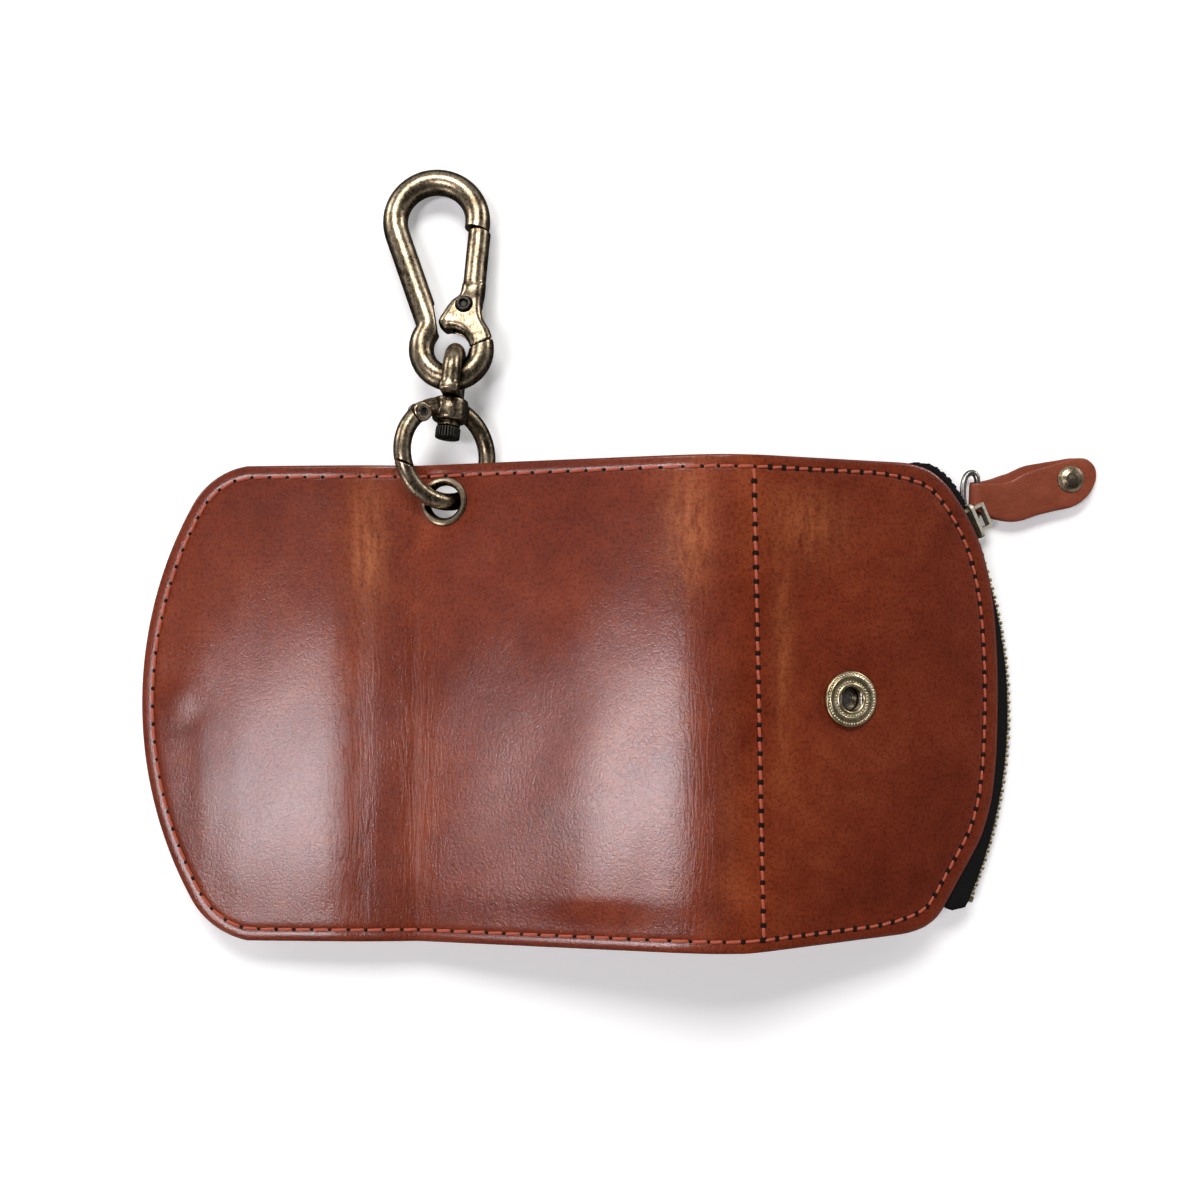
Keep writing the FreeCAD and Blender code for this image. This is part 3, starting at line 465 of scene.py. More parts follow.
def arc3(a, m, b, n):
    """n + 1 points from a to b on the circle through a, m and b."""
    (ax, ay), (bx, by), (cx, cy) = a, m, b
    d = 2 * (ax * (by - cy) + bx * (cy - ay) + cx * (ay - by))
    ux = ((ax**2 + ay**2) * (by - cy) + (bx**2 + by**2) * (cy - ay) + (cx**2 + cy**2) * (ay - by)) / d
    uy = ((ax**2 + ay**2) * (cx - bx) + (bx**2 + by**2) * (ax - cx) + (cx**2 + cy**2) * (bx - ax)) / d
    r = math.hypot(ax - ux, ay - uy)
    w = [math.atan2(q[1] - uy, q[0] - ux) for q in (a, m, b)]
    full = (w[2] - w[0]) % (2 * math.pi)
    if not 0 <= (w[1] - w[0]) % (2 * math.pi) <= full:
        full -= 2 * math.pi
    th = w[0] + full * np.linspace(0, 1, n + 1)
    return np.stack([ux + r * np.cos(th), uy + r * np.sin(th)], 1)


def even(poly, n):
    """n + 1 points spread evenly by length on a polyline."""
    d = np.r_[0, np.cumsum(np.linalg.norm(np.diff(poly, axis=0), axis=1))]
    q = np.linspace(0, d[-1], n + 1)
    return np.stack([np.interp(q, d, poly[:, 0]), np.interp(q, d, poly[:, 1])], 1)


S0, S1 = -38.0, 106.35
cols = [np.array([S0])]
stops = [S0, -7.4, 31.0, 67.1, 76.1, S1]
for a, b in zip(stops, stops[1:]):
    n = max(2, int(round((b - a) / 0.8)))
    cols.append(np.linspace(a, b, n + 1)[1:])
cols = np.concatenate(cols)
NX, NY, NC = len(cols) - 1, 116, 26

tl = arc3((-50.5, 43.8), (-45.85, 49.1), (-38.0, 52.3), 200)
bl = arc3((-50.5, -43.8), (-46.05, -48.75), (-38.0, -52.3), 200)
end_l = arc3((-50.5, 43.8), (-62.16, 1.4), (-50.5, -43.8), 600)
pocket_end = np.array([
    (34.25, -50.2), (38.5, -49.65), (41.6, -48.65), (44.4, -46.8), (47.1, -43.2), (49.6, -39.2), (52.6, -34.6), (55.7, -29.2),
    (58.0, -22.2), (59.2, -14.0), (59.7, -4.85), (59.8, 3.5), (59.5, 12.5), (58.1, 25.1), (55.3, 35.1), (53.1, 39.6),
    (49.7, 44.7), (46.2, 48.6), (42.5, 51.0), (38.5, 52.05), (34.5, 52.3),
]) + np.array([72.1, 0.0])


def spline(p, n, t0=None, t1=None):
    """Smooth curve through points, n steps on each span."""
    d = np.r_[0, np.cumsum(np.linalg.norm(np.diff(p, axis=0), axis=1))]
    m = np.gradient(p, d, axis=0)
    if t0 is not None:
        m[0] = t0
    if t1 is not None:
        m[-1] = t1
    out = []
    for i in range(len(p) - 1):
        h = d[i + 1] - d[i]
        u = np.linspace(0, 1, n + 1)[:-1, None]
        out.append((2 * u**3 - 3 * u**2 + 1) * p[i] + (u**3 - 2 * u**2 + u) * h * m[i] + (3 * u**2 - 2 * u**3) * p[i + 1] + (u**3 - u**2) * h * m[i + 1])
    return np.vstack(out + [p[-1:]])


PE = spline(pocket_end, 60, (1.0, 0.062), (-1.0, 0.0))


def near(poly, p):
    return int(np.argmin(np.linalg.norm(poly - np.array(p), axis=1)))


i_tl, i_bl, i_tr, i_br = near(tl, (-45.85, 49.1)), near(bl, (-46.05, -48.75)), near(PE, (118.3, 48.6)), near(PE, (116.5, -46.8))
side_l = even(np.vstack([tl[: i_tl + 1][::-1], end_l[1:], bl[1 : i_bl + 1]]), NY)
side_r = even(PE[i_br : i_tr + 1][::-1], NY)


def bottom_y(s):
    return np.where(s < 72.35, -52.3, -52.3 + (s - 72.35) / 34.0 * 2.1)


top = np.vstack([even(tl[i_tl:], NC)[:-1], np.stack([cols, np.full(len(cols), 52.3)], 1), even(np.vstack([[[S1, 52.3]], PE[i_tr:][::-1]]), NC)[1:]])
bot = np.vstack([even(bl[i_bl:], NC)[:-1], np.stack([cols, bottom_y(cols)], 1), even(PE[: i_br + 1], NC)[1:]])
NS = len(top) - 1
# closed loop, counter-clockwise: bottom, right, top, left
LOOP = np.vstack([bot[:-1], side_r[::-1][:-1], top[::-1][:-1], side_l[:-1]])
NL = len(LOOP)
tan = np.roll(LOOP, -1, 0) - np.roll(LOOP, 1, 0)
inward = np.stack([-tan[:, 1], tan[:, 0]], 1)
inward /= np.linalg.norm(inward, axis=1)[:, None]
for _ in range(3):
    inward = 0.25 * np.roll(inward, 1, 0) + 0.5 * inward + 0.25 * np.roll(inward, -1, 0)
inward /= np.linalg.norm(inward, axis=1)[:, None]

SEW = 2.6
RINGS = np.array([0.0, 0.10, 0.28, 0.60, 1.15, 1.75, 2.12, 2.4, 2.6, 2.8, 3.08, 3.5, 4.2])


def inset(d):
    """Inset of a loop from the outline; along the zip end the seam runs further in."""
    f = 1 + 0.40 * np.clip((LOOP[:, 0] - 100.0) / 13.0, 0, 1) ** 2 * (3 - 2 * np.clip((LOOP[:, 0] - 100.0) / 13.0, 0, 1))
    return (d * f)[:, None]


ring_pts = [LOOP + inset(d) * inward for d in RINGS]
inner = ring_pts[-1]
iB = inner[: NS + 1]
iR = inner[NS : NS + NY + 1]
iT = inner[NS + NY : 2 * NS + NY + 1][::-1]
iL = np.vstack([inner[2 * NS + NY :], inner[:1]])[::-1]
GRID = np.zeros((NS + 1, NY + 1, 2))
v = np.linspace(0, 1, NY + 1)[:, None]
for i in range(NS + 1):
    GRID[i] = (1 - v) * iB[i] + v * iT[i]


def coons(i0, i1, left, right):
    """Fills columns i0..i1 between two end curves."""
    n = i1 - i0
    for i in range(n + 1):
        u = i / n
        b, t = iB[i0 + i], iT[i0 + i]
        corner = (1 - u) * ((1 - v) * left[0] + v * left[-1]) + u * ((1 - v) * right[0] + v * right[-1])
        GRID[i0 + i] = (1 - v) * b + v * t + (1 - u) * left + u * right - corner


coons(0, NC, iL, GRID[NC].copy())
coons(NS - NC, NS, GRID[NS - NC].copy(), iR)

# the point set of one sheet: rings, then the grid's inside; the grid's border is the innermost ring
pts = [p for p in ring_pts]
flat = np.vstack(pts)
gid = np.full((NS + 1, NY + 1), -1, int)
base_in = (len(RINGS) - 1) * NL
for i in range(NS + 1):
    gid[i, 0] = base_in + i
    gid[i, NY] = base_in + (2 * NS + NY - i) % NL
for j in range(NY + 1):
    gid[NS, j] = base_in + NS + j
    gid[0, j] = base_in + (NL - j) % NL
inside = [(i, j) for i in range(1, NS) for j in range(1, NY)]
for c, (i, j) in enumerate(inside):
    gid[i, j] = len(flat) + c
FLAT = np.vstack([flat, np.array([GRID[i, j] for i, j in inside])])
DIST = np.concatenate([np.repeat(RINGS, NL), np.full(len(inside), 9.0)])
quads = []
for r in range(len(RINGS) - 1):
    a, b = r * NL, (r + 1) * NL
    for i in range(NL):
        k = (i + 1) % NL
        quads.append((a + i, a + k, b + k, b + i))
for i in range(NS):
    for j in range(NY):
        quads.append((gid[i, j], gid[i + 1, j], gid[i + 1, j + 1], gid[i, j + 1]))
QUADS = np.array(quads)
EYE = np.array([6.11, 44.2])
SNAP = np.array([72.1 + 22.95, 1.0])
STUD = np.array([-14.8 - 39.15, 1.0])
eye_r = np.linalg.norm(FLAT - EYE, axis=1)
snap_r = np.linalg.norm(FLAT - SNAP, axis=1)
stud_r = np.linalg.norm(FLAT - STUD, axis=1)
q_eye = (eye_r[QUADS] < 3.85).any(1)
q_snap = (snap_r[QUADS] < 3.3).any(1)
QC = FLAT[QUADS].mean(1)
EDGE_Z = np.interp(DIST, [0, 0.10, 0.28, 0.60, 1.15, 1.75, 2.12, 2.4, 2.6, 2.8, 3.08, 3.5, 4.2], [1.66, 1.95, 2.09, 2.16, 2.19, 2.18, 2.14, 2.09, 2.07, 2.09, 2.15, 2.19, 2.2])


def smooth01(x):
    x = np.clip(x, 0, 1)
    return x * x * (3 - 2 * x)


def soft_waves(s, y):
    """Slow unevenness of a worked hide, a fraction of a millimetre."""
    return (
        0.05 * np.sin(s * 0.11 + 0.7 * np.sin(y * 0.06))
        + 0.04 * np.sin(y * 0.13 + 0.9 * np.sin(s * 0.08 + 1.1))
        + 0.015 * np.sin(s * 0.31 - y * 0.21)
    )


# distance to the outline for the grid's inside too, so that waves fade out towards the sewn edge
step = max(1, NL // 700)
ol = LOOP[::step]
near_edge = np.zeros(len(FLAT))
for a in range(0, len(FLAT), 4000):
    near_edge[a : a + 4000] = np.min(np.linalg.norm(FLAT[a : a + 4000, None] - ol[None], axis=2), axis=1)
fade = smooth01((near_edge - 3.5) / 8.0)
TOP_Z = EDGE_Z + fade * soft_waves(FLAT[:, 0], FLAT[:, 1])
TOP_Z += 0.60 * fade * np.exp(-(((FLAT[:, 0] - 41.8) / 9.0) ** 2) / 2)
TOP_Z += 0.09 * np.exp(-((stud_r / 3.4) ** 2)) - 0.04 * np.exp(-(((stud_r - 6.0) / 2.4) ** 2))
TOP_Z -= 0.30 * np.exp(-(((eye_r - 5.0) / 1.6) ** 2)) + 0.22 * np.exp(-(((snap_r - 6.0) / 1.8) ** 2))
# where the hide has been creased for the two folds of each spine
fold_at = np.stack([np.exp(-(((FLAT[:, 0] - h) / w) ** 2)) for h, w in zip(SH, (4.5, 4.0, 4.2, 3.4))])
FOLD = np.clip(fold_at.max(0), 0, 1)
EDGE = np.clip(1 - near_edge / 1.1, 0, 1)
# paler patches: painted highlights on the upper ends of the folds, and a little glaze rubbed paler on the pocket
RUB_AND_HIGHLIGHT = np.zeros(len(FLAT))
for rs, ry, ws, wy, amount in ((-11.5, 33.0, 4.2, 14.0, 0.85), (59.5, 37.0, 4.6, 12.0, 0.85), (85.0, 38.0, 10.0, 8.0, 0.45), (68.0, -20.0, 2.2, 24.0, 0.25), (79.5, 10.0, 2.5, 26.0, 0.40)):
    RUB_AND_HIGHLIGHT = np.maximum(RUB_AND_HIGHLIGHT, amount * np.exp(-(((FLAT[:, 0] - rs) / ws) ** 2) - ((FLAT[:, 1] - ry) / wy) ** 2))
# painted shade: darker towards the pocket's lower right, and in a band down the lower part of the right spine
PAINTED_SHADE = 0.42 * smooth01((FLAT[:, 0] - 84.0 - 0.35 * FLAT[:, 1]) / 22.0) + 0.30 * np.exp(-(((FLAT[:, 0] - 66.5) / 4.5) ** 2)) * smooth01((18.0 - FLAT[:, 1]) / 20.0)


def cut_mesh(name, zs, faces, mat, extra=None, fillet=FILLET):
    """Object from the shared flat point set: zs per point, faces by index, extra = (points s y z, faces) to weld on."""
    ss, ys, zz = FLAT[:, 0], FLAT[:, 1], zs
    fold, edge, rub_and_highlight, painted_shade = FOLD, EDGE, RUB_AND_HIGHLIGHT, PAINTED_SHADE
    if extra is not None:
        e = extra
        ss, ys, zz = np.r_[ss, e[:, 0]], np.r_[ys, e[:, 1]], np.r_[zz, e[:, 2]]
        fold, edge, rub_and_highlight = np.r_[fold, np.zeros(len(e))], np.r_[edge, np.ones(len(e))], np.r_[rub_and_highlight, np.zeros(len(e))]
        # the rims take a little of the painted shade too
        painted_shade = np.r_[painted_shade, np.full(len(e), 0.3)]
    used = np.unique(np.concatenate([np.asarray(f) for f in faces]))
    remap = np.full(len(ss), -1, int)
    remap[used] = np.arange(len(used))
    co = lay(ss[used], ys[used], zz[used], fillet)
    o = mesh_object(name, co, [tuple(remap[list(f)]) for f in faces])
    me = o.data
    uv = me.uv_layers.new(name="flat")
    vi = np.zeros(len(me.loops), int)
    me.loops.foreach_get("vertex_index", vi)
    uvs = np.stack([ss[used][vi] / 100.0, ys[used][vi] / 100.0], 1)
    uv.data.foreach_set("uv", uvs.ravel())
    for an, av in (("fold", fold[used]), ("edge", edge[used]), ("rub_and_highlight", rub_and_highlight[used]), ("painted_shade", painted_shade[used])):
        at = me.attributes.new(an, "FLOAT", "POINT")
        at.data.foreach_set("value", av.astype(np.float32))
    me.materials.append(mat)
    return o


def rim_loops(levels):
    """Loops below the outline: levels = [(inset, z array or number), ...]; returns points s y z."""
    out = []
    for d, z in levels:
        p = LOOP + d * inward
        out.append(np.column_stack([p, np.broadcast_to(np.asarray(z, float), (NL,))]))
    return np.vstack(out)


def rim_faces(first_ring, base, count):
    """Quads from a ring of the point set down through `count` extra loops that start at index base."""
    f = []
    rings = [first_ring * NL] + [base + c * NL for c in range(count)]
    for a, b in zip(rings, rings[1:]):
        for i in range(NL):
            k = (i + 1) % NL
            f.append((a + i, b + i, b + k, a + k))
    return f


SPLITS = (-200.0, -7.4, 31.0, 67.1, 400.0)
PAIRS = (("flap", "spine_left", 0, 6.0), ("spine_left", "center", 1, 6.0), ("center", "spine_right", 2, 4.6), ("spine_right", "pocket", 3, 4.6))


def blend_at(o, pair):
    a, b, h, w = pair
    mid = SH[h]
    tuple(lay(mid - w, 0.0, 1.0)[0])
    tuple(lay(mid + w, 0.0, 1.0)[0])
    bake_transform(o)


def in_span(f, pts, lo, hi):
    c = pts[list(f)].mean()
    return lo < c < hi


# outer leather
NF = len(FLAT)
outer_extra = rim_loops([(-0.03, 1.25), (0.0, 0.98), (0.06, 0.91), (3.2, 0.91)])
outer_faces = [tuple(q) for q in QUADS[~(q_eye | q_snap)]] + rim_faces(0, NF, 4)
all_s = np.r_[FLAT[:, 0], outer_extra[:, 0]]
OUT_NODES = (("outer_leather_flap",), ("outer_leather_spine_left",), ("outer_leather_center",), ("outer_leather_spine_right", "outer_leather_pocket"))
fc = np.array([all_s[list(f)].mean() for f in outer_faces])
for k, pair in enumerate(PAIRS):
    sel = [f for f, c in zip(outer_faces, fc) if SPLITS[k] < c < SPLITS[k + 1]]
    o = cut_mesh("leather_" + pair[0] + "_" + pair[1], TOP_Z, sel, leather, outer_extra)
    blend_at(o, pair)
    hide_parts(*OUT_NODES[k])

# lining, seen from the inner side
LIN_Z = np.interp(DIST, [0, 0.10, 0.28, 0.60, 1.15, 2.12, 2.6, 3.08, 4.2], [0.34, 0.16, 0.06, 0.01, 0.0, 0.02, 0.08, 0.02, 0.0])
LIN_Z = LIN_Z - 0.5 * fade * np.maximum(soft_waves(FLAT[:, 0], FLAT[:, 1]), 0) * 0.4
LIN_Z = LIN_Z - 0.56 * np.exp(-((stud_r / 6.0) ** 2))
lin_extra = rim_loops([(-0.03, 0.60), (0.02, 0.90), (3.2, 0.90)])
lin_faces = [tuple(q[::-1]) for q in QUADS[~q_eye]] + [f[::-1] for f in rim_faces(0, NF, 3)]
lc = np.array([np.r_[FLAT[:, 0], lin_extra[:, 0]][list(f)].mean() for f in lin_faces])
LIN_NODES = (("lining_flap",), ("lining_spine_left",), ("lining_center",), ("lining_spine_right",))
for k, pair in enumerate(PAIRS):
    hi = min(SPLITS[k + 1], 76.1)
    sel = [f for f, c in zip(lin_faces, lc) if SPLITS[k] < c < hi]
    o = cut_mesh("lining_" + pair[0] + "_" + pair[1], LIN_Z, sel, lining, lin_extra)
    blend_at(o, pair)
    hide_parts(*LIN_NODES[k])

# pocket back: sewn flat at the seam and at the upper and lower edges, standing open along the zip
def back_z(s, y):
    xi = s - 72.1
    along = smooth01((xi - 3.0) / 36.0)
    side = np.minimum(52.3 - y, y - bottom_y(np.minimum(s, S1)))
    across = smooth01((side - 1.5) / 10.0)
    far = smooth01((xi - 40.0) / 8.0)
    return -0.12 - 3.36 * along * np.maximum(across, far * smooth01((side + 6.0) / 9.0))


bz = back_z(FLAT[:, 0], FLAT[:, 1])
BACK_Z = bz + np.interp(DIST, [0, 0.10, 0.28, 0.60, 1.15], [0.40, 0.20, 0.08, 0.02, 0.0])
lz = back_z(LOOP[:, 0], LOOP[:, 1])
back_extra = rim_loops([(-0.02, lz + 0.70), (0.02, lz + 1.0), (3.2, lz + 1.0)])
bc = np.array([np.r_[FLAT[:, 0], back_extra[:, 0]][list(f)].mean() for f in lin_faces])
back_faces = [tuple(q[::-1]) for q in QUADS] + [f[::-1] for f in rim_faces(0, NF, 3)]
bc = np.array([np.r_[FLAT[:, 0], back_extra[:, 0]][list(f)].mean() for f in back_faces])
sel = [f for f, c in zip(back_faces, bc) if c > 76.1]
NO_END = FILLET[:3] + ((4.8, 3.4),)
o = cut_mesh("pocket_back_sheet", BACK_Z, sel, leather, back_extra, NO_END)
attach(o, "pocket")
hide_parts("pocket_back")

# ------------------------------------------------------------------ stitching: waxed thread over needle holes
SEW_LOOP = LOOP + inset(SEW) * inward
sew_len = np.r_[0, np.cumsum(np.linalg.norm(np.diff(np.vstack([SEW_LOOP, SEW_LOOP[:1]]), axis=0), axis=1))]
sew_x = np.r_[SEW_LOOP[:, 0], SEW_LOOP[0, 0]]
sew_y = np.r_[SEW_LOOP[:, 1], SEW_LOOP[0, 1]]


def sew_at(d):
    d = np.mod(d, sew_len[-1])
    return np.array([np.interp(d, sew_len, sew_x), np.interp(d, sew_len, sew_y)])


def dist_at(point):
    return sew_len[int(np.argmin(np.hypot(SEW_LOOP[:, 0] - point[0], SEW_LOOP[:, 1] - point[1])))]


def run(d0, d1, pitch):
    n = max(1, int(round((d1 - d0) / pitch)))
    e = np.linspace(d0, d1, n + 1)
    return [(sew_at(a), sew_at(b)) for a, b in zip(e, e[1:])]


seam_lo, seam_hi = np.array([75.35, -49.4]), np.array([73.35, 49.6])
d_lo, d_hi = dist_at(seam_lo), dist_at(seam_hi)
runs = run(d_lo, d_hi, 3.05) + run(d_hi, d_lo + sew_len[-1], 3.95)
edge_runs = len(runs)
n_seam = int(round(np.linalg.norm(seam_hi - seam_lo) / 3.0))
seam_pts = [seam_lo + (seam_hi - seam_lo) * k / n_seam for k in range(n_seam + 1)]
runs += list(zip(seam_pts, seam_pts[1:]))

SEW_Z = 2.07
groups = [[[], [], [], []] for _ in range(4)]


def add_stitch(g, a, b, r, slant, on_pocket):
    """One thread lying between two needle holes, sunk at both ends, with a near-black disc at its start that is painted
    shade in the needle hole.
    """
    vs, fs, mats, uvs = g
    d = b - a
    ln = np.linalg.norm(d)
    d = d / ln
    n = np.array([-d[1], d[0]])
    z0 = SEW_Z if not on_pocket == 2 else 2.14
    m, k = 9, 8
    base = len(vs)
    for i in range(m + 1):
        u = i / m
        lift = 0.16 * math.sin(math.pi * u) ** 0.6 if 0 < u < 1 else 0.0
        zc = z0 + 0.02 + lift - (0.30 if i in (0, m) else 0.0)
        rr = r * (0.62 if i in (0, m) else 0.92 if i in (1, m - 1) else 1.0)
        p = a + d * (0.26 + (ln - 0.52) * u) + n * slant * (u - 0.5)
        for j in range(k):
            th = 2 * math.pi * j / k
            vs.append((*(p + n * rr * 1.12 * math.cos(th)), zc + rr * 0.80 * math.sin(th)))
            uvs.append((u * ln, j / k * 2.3))
    for i in range(m):
        for j in range(k):
            q = (j + 1) % k
            fs.append((base + i * k + j, base + i * k + q, base + (i + 1) * k + q, base + (i + 1) * k + j))
            mats.append(0)
    # painted shade: a near-black domed disc over the needle hole at the stitch's start
    hb = len(vs)
    hr = (0.60 if on_pocket else 0.38) * rng.uniform(0.9, 1.12)
    sq = rng.uniform(0.85, 1.1)
    for ring, (rad, dz) in enumerate(((1.15, -0.10), (1.0, 0.05), (0.62, 0.12))):
        for j in range(10):
            th = 2 * math.pi * j / 10
            c, s2 = math.cos(th), math.sin(th)
            w = 1.0 / max(abs(c), abs(s2)) ** 0.55
            q = a + d * hr * rad * w * c * sq + n * hr * rad * w * s2
            vs.append((*q, z0 + dz + (0.10 if on_pocket else 0.0)))
            uvs.append((0.0, 0.0))
    vs.append((*a, z0 + 0.13 + (0.10 if on_pocket else 0.0)))
    uvs.append((0.0, 0.0))
    for ring in range(2):
        for j in range(10):
            q = (j + 1) % 10
            fs.append((hb + ring * 10 + j, hb + ring * 10 + q, hb + ring * 10 + 10 + q, hb + ring * 10 + 10 + j))
            mats.append(1)
    for j in range(10):
        fs.append((hb + 20 + j, hb + 20 + (j + 1) % 10, hb + 30))
        mats.append(1)


for i, (a, b) in enumerate(runs):
    mid = 0.5 * (a[0] + b[0])
    k = int(np.searchsorted(SPLITS[1:-1], mid))
    seam = i >= edge_runs
    pocket_side = seam or mid > 73.0
    add_stitch(groups[k], a, b, 0.27 if pocket_side else 0.30, 0.16 + rng.uniform(-0.06, 0.06), 2 if seam else 1 if pocket_side else 0)

SEW_NODES = (("stitching_flap",), ("stitching_spine_left",), ("stitching_center",), ("stitching_spine_right", "stitching_pocket"))
for k, pair in enumerate(PAIRS):
    vs, fs, mats, uvs = groups[k]
    vs = np.array(vs)
    o = mesh_object("stitches_" + pair[0] + "_" + pair[1], lay(vs[:, 0], vs[:, 1], vs[:, 2]), fs)
    me = o.data
    me.materials.append(thread)
    me.materials.append(hole_painted_shade)
    me.polygons.foreach_set("material_index", mats)
    uv = me.uv_layers.new(name="flat")
    vi = np.zeros(len(me.loops), int)
    me.loops.foreach_get("vertex_index", vi)
    uv.data.foreach_set("uv", np.array(uvs)[vi].ravel())
    blend_at(o, pair)
    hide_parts(*SEW_NODES[k])

# ------------------------------------------------------------------ zip: two woven tapes, two rows of teeth
ZC = np.array([72.1 - 28.8, -2.0])


def zip_at(r, deg, z):
    a = np.radians(deg)
    return lay(ZC[0] + r * np.cos(a), ZC[1] + r * np.sin(a), z)


def tape(name, sign, a0, a1, node):
    """A woven band that comes out from between the pocket walls and turns to meet its partner at the teeth."""
    mid = -0.8
    line = [(85.6, 1.66), (88.0, 1.65), (90.0, 1.58), (91.3, 1.36), (92.1, 0.95), (92.45, 0.5), (92.5, 0.22)]
    outer = [(r, h) for r, h in line]
    inner_line = [(92.05, 0.22), (91.95, 0.5), (91.6, 0.75), (91.0, 0.98), (89.9, 1.12), (88.0, 1.18), (85.6, 1.18)]
    sec = outer + inner_line
    m = len(sec)
    n = int((a1 - a0) / 0.45)
    vs, fs, uvs = [], [], []
    ds = np.r_[0, np.cumsum([math.dist(p, q) for p, q in zip(sec, sec[1:])])]
    for i in range(n + 1):
        deg = a0 + (a1 - a0) * i / n
        taper = min(1.0, 0.35 + (i / n) / 0.02 * 0.65, 0.35 + (1 - i / n) / 0.02 * 0.65)
        ripple = 0.05 * math.sin(deg * 2.3) + 0.03 * math.sin(deg * 5.1 + 1)
        for k, (r, h) in enumerate(sec):
            rr = 88.0 + (r - 88.0) * taper if r > 88.0 else r
            vs.append(zip_at(rr + (ripple if r > 89 else 0), deg, mid + sign * h)[0])
            uvs.append((math.radians(deg) * 92.0, ds[k]))
    for i in range(n):
        for k in range(m):
            q = (k + 1) % m
            f = (i * m + k, i * m + q, (i + 1) * m + q, (i + 1) * m + k)
            fs.append(f if sign < 0 else f[::-1])
    fs.append(tuple(range(m)) if sign > 0 else tuple(reversed(range(m))))
    last = [n * m + k for k in range(m)]
    fs.append(tuple(reversed(last)) if sign > 0 else tuple(last))
    o = mesh_object(name, vs, fs)
    uv = o.data.uv_layers.new(name="flat")
    vi = np.zeros(len(o.data.loops), int)
    o.data.loops.foreach_get("vertex_index", vi)
    uv.data.foreach_set("uv", np.array(uvs)[vi].ravel())
    o.data.materials.append(tape_black)
    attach(o, "pocket")
    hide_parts(node)


tape("zip_tape_top", 1, -29.3, 34.4, "zipper_tape_upper")
tape("zip_tape_bottom", -1, -29.3, 33.4, "zipper_tape_lower")


# turned-in ends of the tapes, bunched between the pocket walls at the upper corner
pe_rel = PE - ZC
pe_deg = np.degrees(np.arctan2(pe_rel[:, 1], pe_rel[:, 0]))
pe_r = np.hypot(pe_rel[:, 0], pe_rel[:, 1])
pe_ord = np.argsort(pe_deg)


def bunch(name, degs, wide, seed):
    sec = [(-3.2, -0.25), (-1.2, -0.12), (0.4, 0.02), (1.5, 0.06), (2.3, -0.12), (2.8, -0.5), (2.95, -0.9), (2.7, -1.3), (1.8, -1.6), (0.4, -1.75), (-1.2, -1.8), (-3.2, -1.8)]
    n, m = 60, len(sec)
    vs, fs, uvs = [], [], []
    for i in range(n + 1):
        deg = degs[0] + (degs[1] - degs[0]) * i / n
        edge_r = float(np.interp(deg, pe_deg[pe_ord], pe_r[pe_ord]))
        w = float(np.interp(i / n, [0, 0.12, 0.45, 0.75, 0.92, 1.0], wide))
        for k, (r, h) in enumerate(sec):
            lump = 0.16 * math.sin(deg * 5.3 + k * 1.1 + seed) + 0.10 * math.sin(deg * 11.7 - k * 0.8)
            vs.append(zip_at(edge_r + (r * w if r > 0 else r) + lump * (0.8 if r > 0 else 0), deg, h * (0.45 + 0.55 * min(1.0, w * 1.4)) - 0.15 + 0.5 * lump)[0])
            uvs.append((math.radians(deg) * 92.0, k * 0.6))
    for i in range(n):
        for k in range(m):
            q = (k + 1) % m
            fs.append((i * m + k, (i + 1) * m + k, (i + 1) * m + q, i * m + q))
    fs.append(tuple(range(m)))
    fs.append(tuple(reversed([n * m + k for k in range(m)])))
    o = mesh_object(name, vs, fs)
    bm = bmesh.new()
    bm.from_mesh(o.data)
    bmesh.ops.recalc_face_normals(bm, faces=bm.faces)
    bm.to_mesh(o.data)
    bm.free()
    uv = o.data.uv_layers.new(name="flat")
    vi = np.zeros(len(o.data.loops), int)
    o.data.loops.foreach_get("vertex_index", vi)
    uv.data.foreach_set("uv", np.array(uvs)[vi].ravel())
    o.data.materials.append(tape_black)
    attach(o, "pocket")


bunch("zip_tape_ends", (28.9, 39.4), (0.75, 0.98, 1.05, 0.95, 0.55, 0.1), 0.4)

def pebble(vs, fs, centre, size, deg, power=0.55, na=10, nb=7):
    """A rounded block in the zip's frame: size = radial, tangential, along the pocket's normal."""
    base = len(vs)
    r0, a0, z0 = centre
    for i in range(nb + 1):
        th = math.pi * (i / nb - 0.5)
        for j in range(na):
            ph = 2 * math.pi * j / na

            def sp(x):
                return math.copysign(abs(x) ** power, x)

            x = sp(math.cos(th)) * sp(math.cos(ph)) * size[0] / 2
            y = sp(math.cos(th)) * sp(math.sin(ph)) * size[1] / 2
            z = sp(math.sin(th)) * size[2] / 2
            vs.append(zip_at(r0 + x, a0 + math.degrees(y / r0), z0 + z)[0])
    for i in range(nb):
        for j in range(na):
            q = (j + 1) % na
            fs.append((base + i * na + j, base + i * na + q, base + (i + 1) * na + q, base + (i + 1) * na + j))


def teeth(name, sign, node):
    vs, fs = [], []
    step = math.degrees(2.0 / 93.2)
    a = -26.0 + (0 if sign > 0 else step / 2)
    while a + step < 27.9:
        j = rng.uniform(-0.05, 0.05)
        pebble(vs, fs, (92.75 + j, a + math.degrees(0.45 / 93), -0.8 + sign * 0.26), (1.0, 0.82, 0.9), a)
        a += step
    o = mesh_object(name, vs, fs)
    o.data.materials.append(gold)
    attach(o, "pocket")
    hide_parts(node)


teeth("zip_teeth_top", 1, "zipper_teeth_upper")
teeth("zip_teeth_bottom", -1, "zipper_teeth_lower")


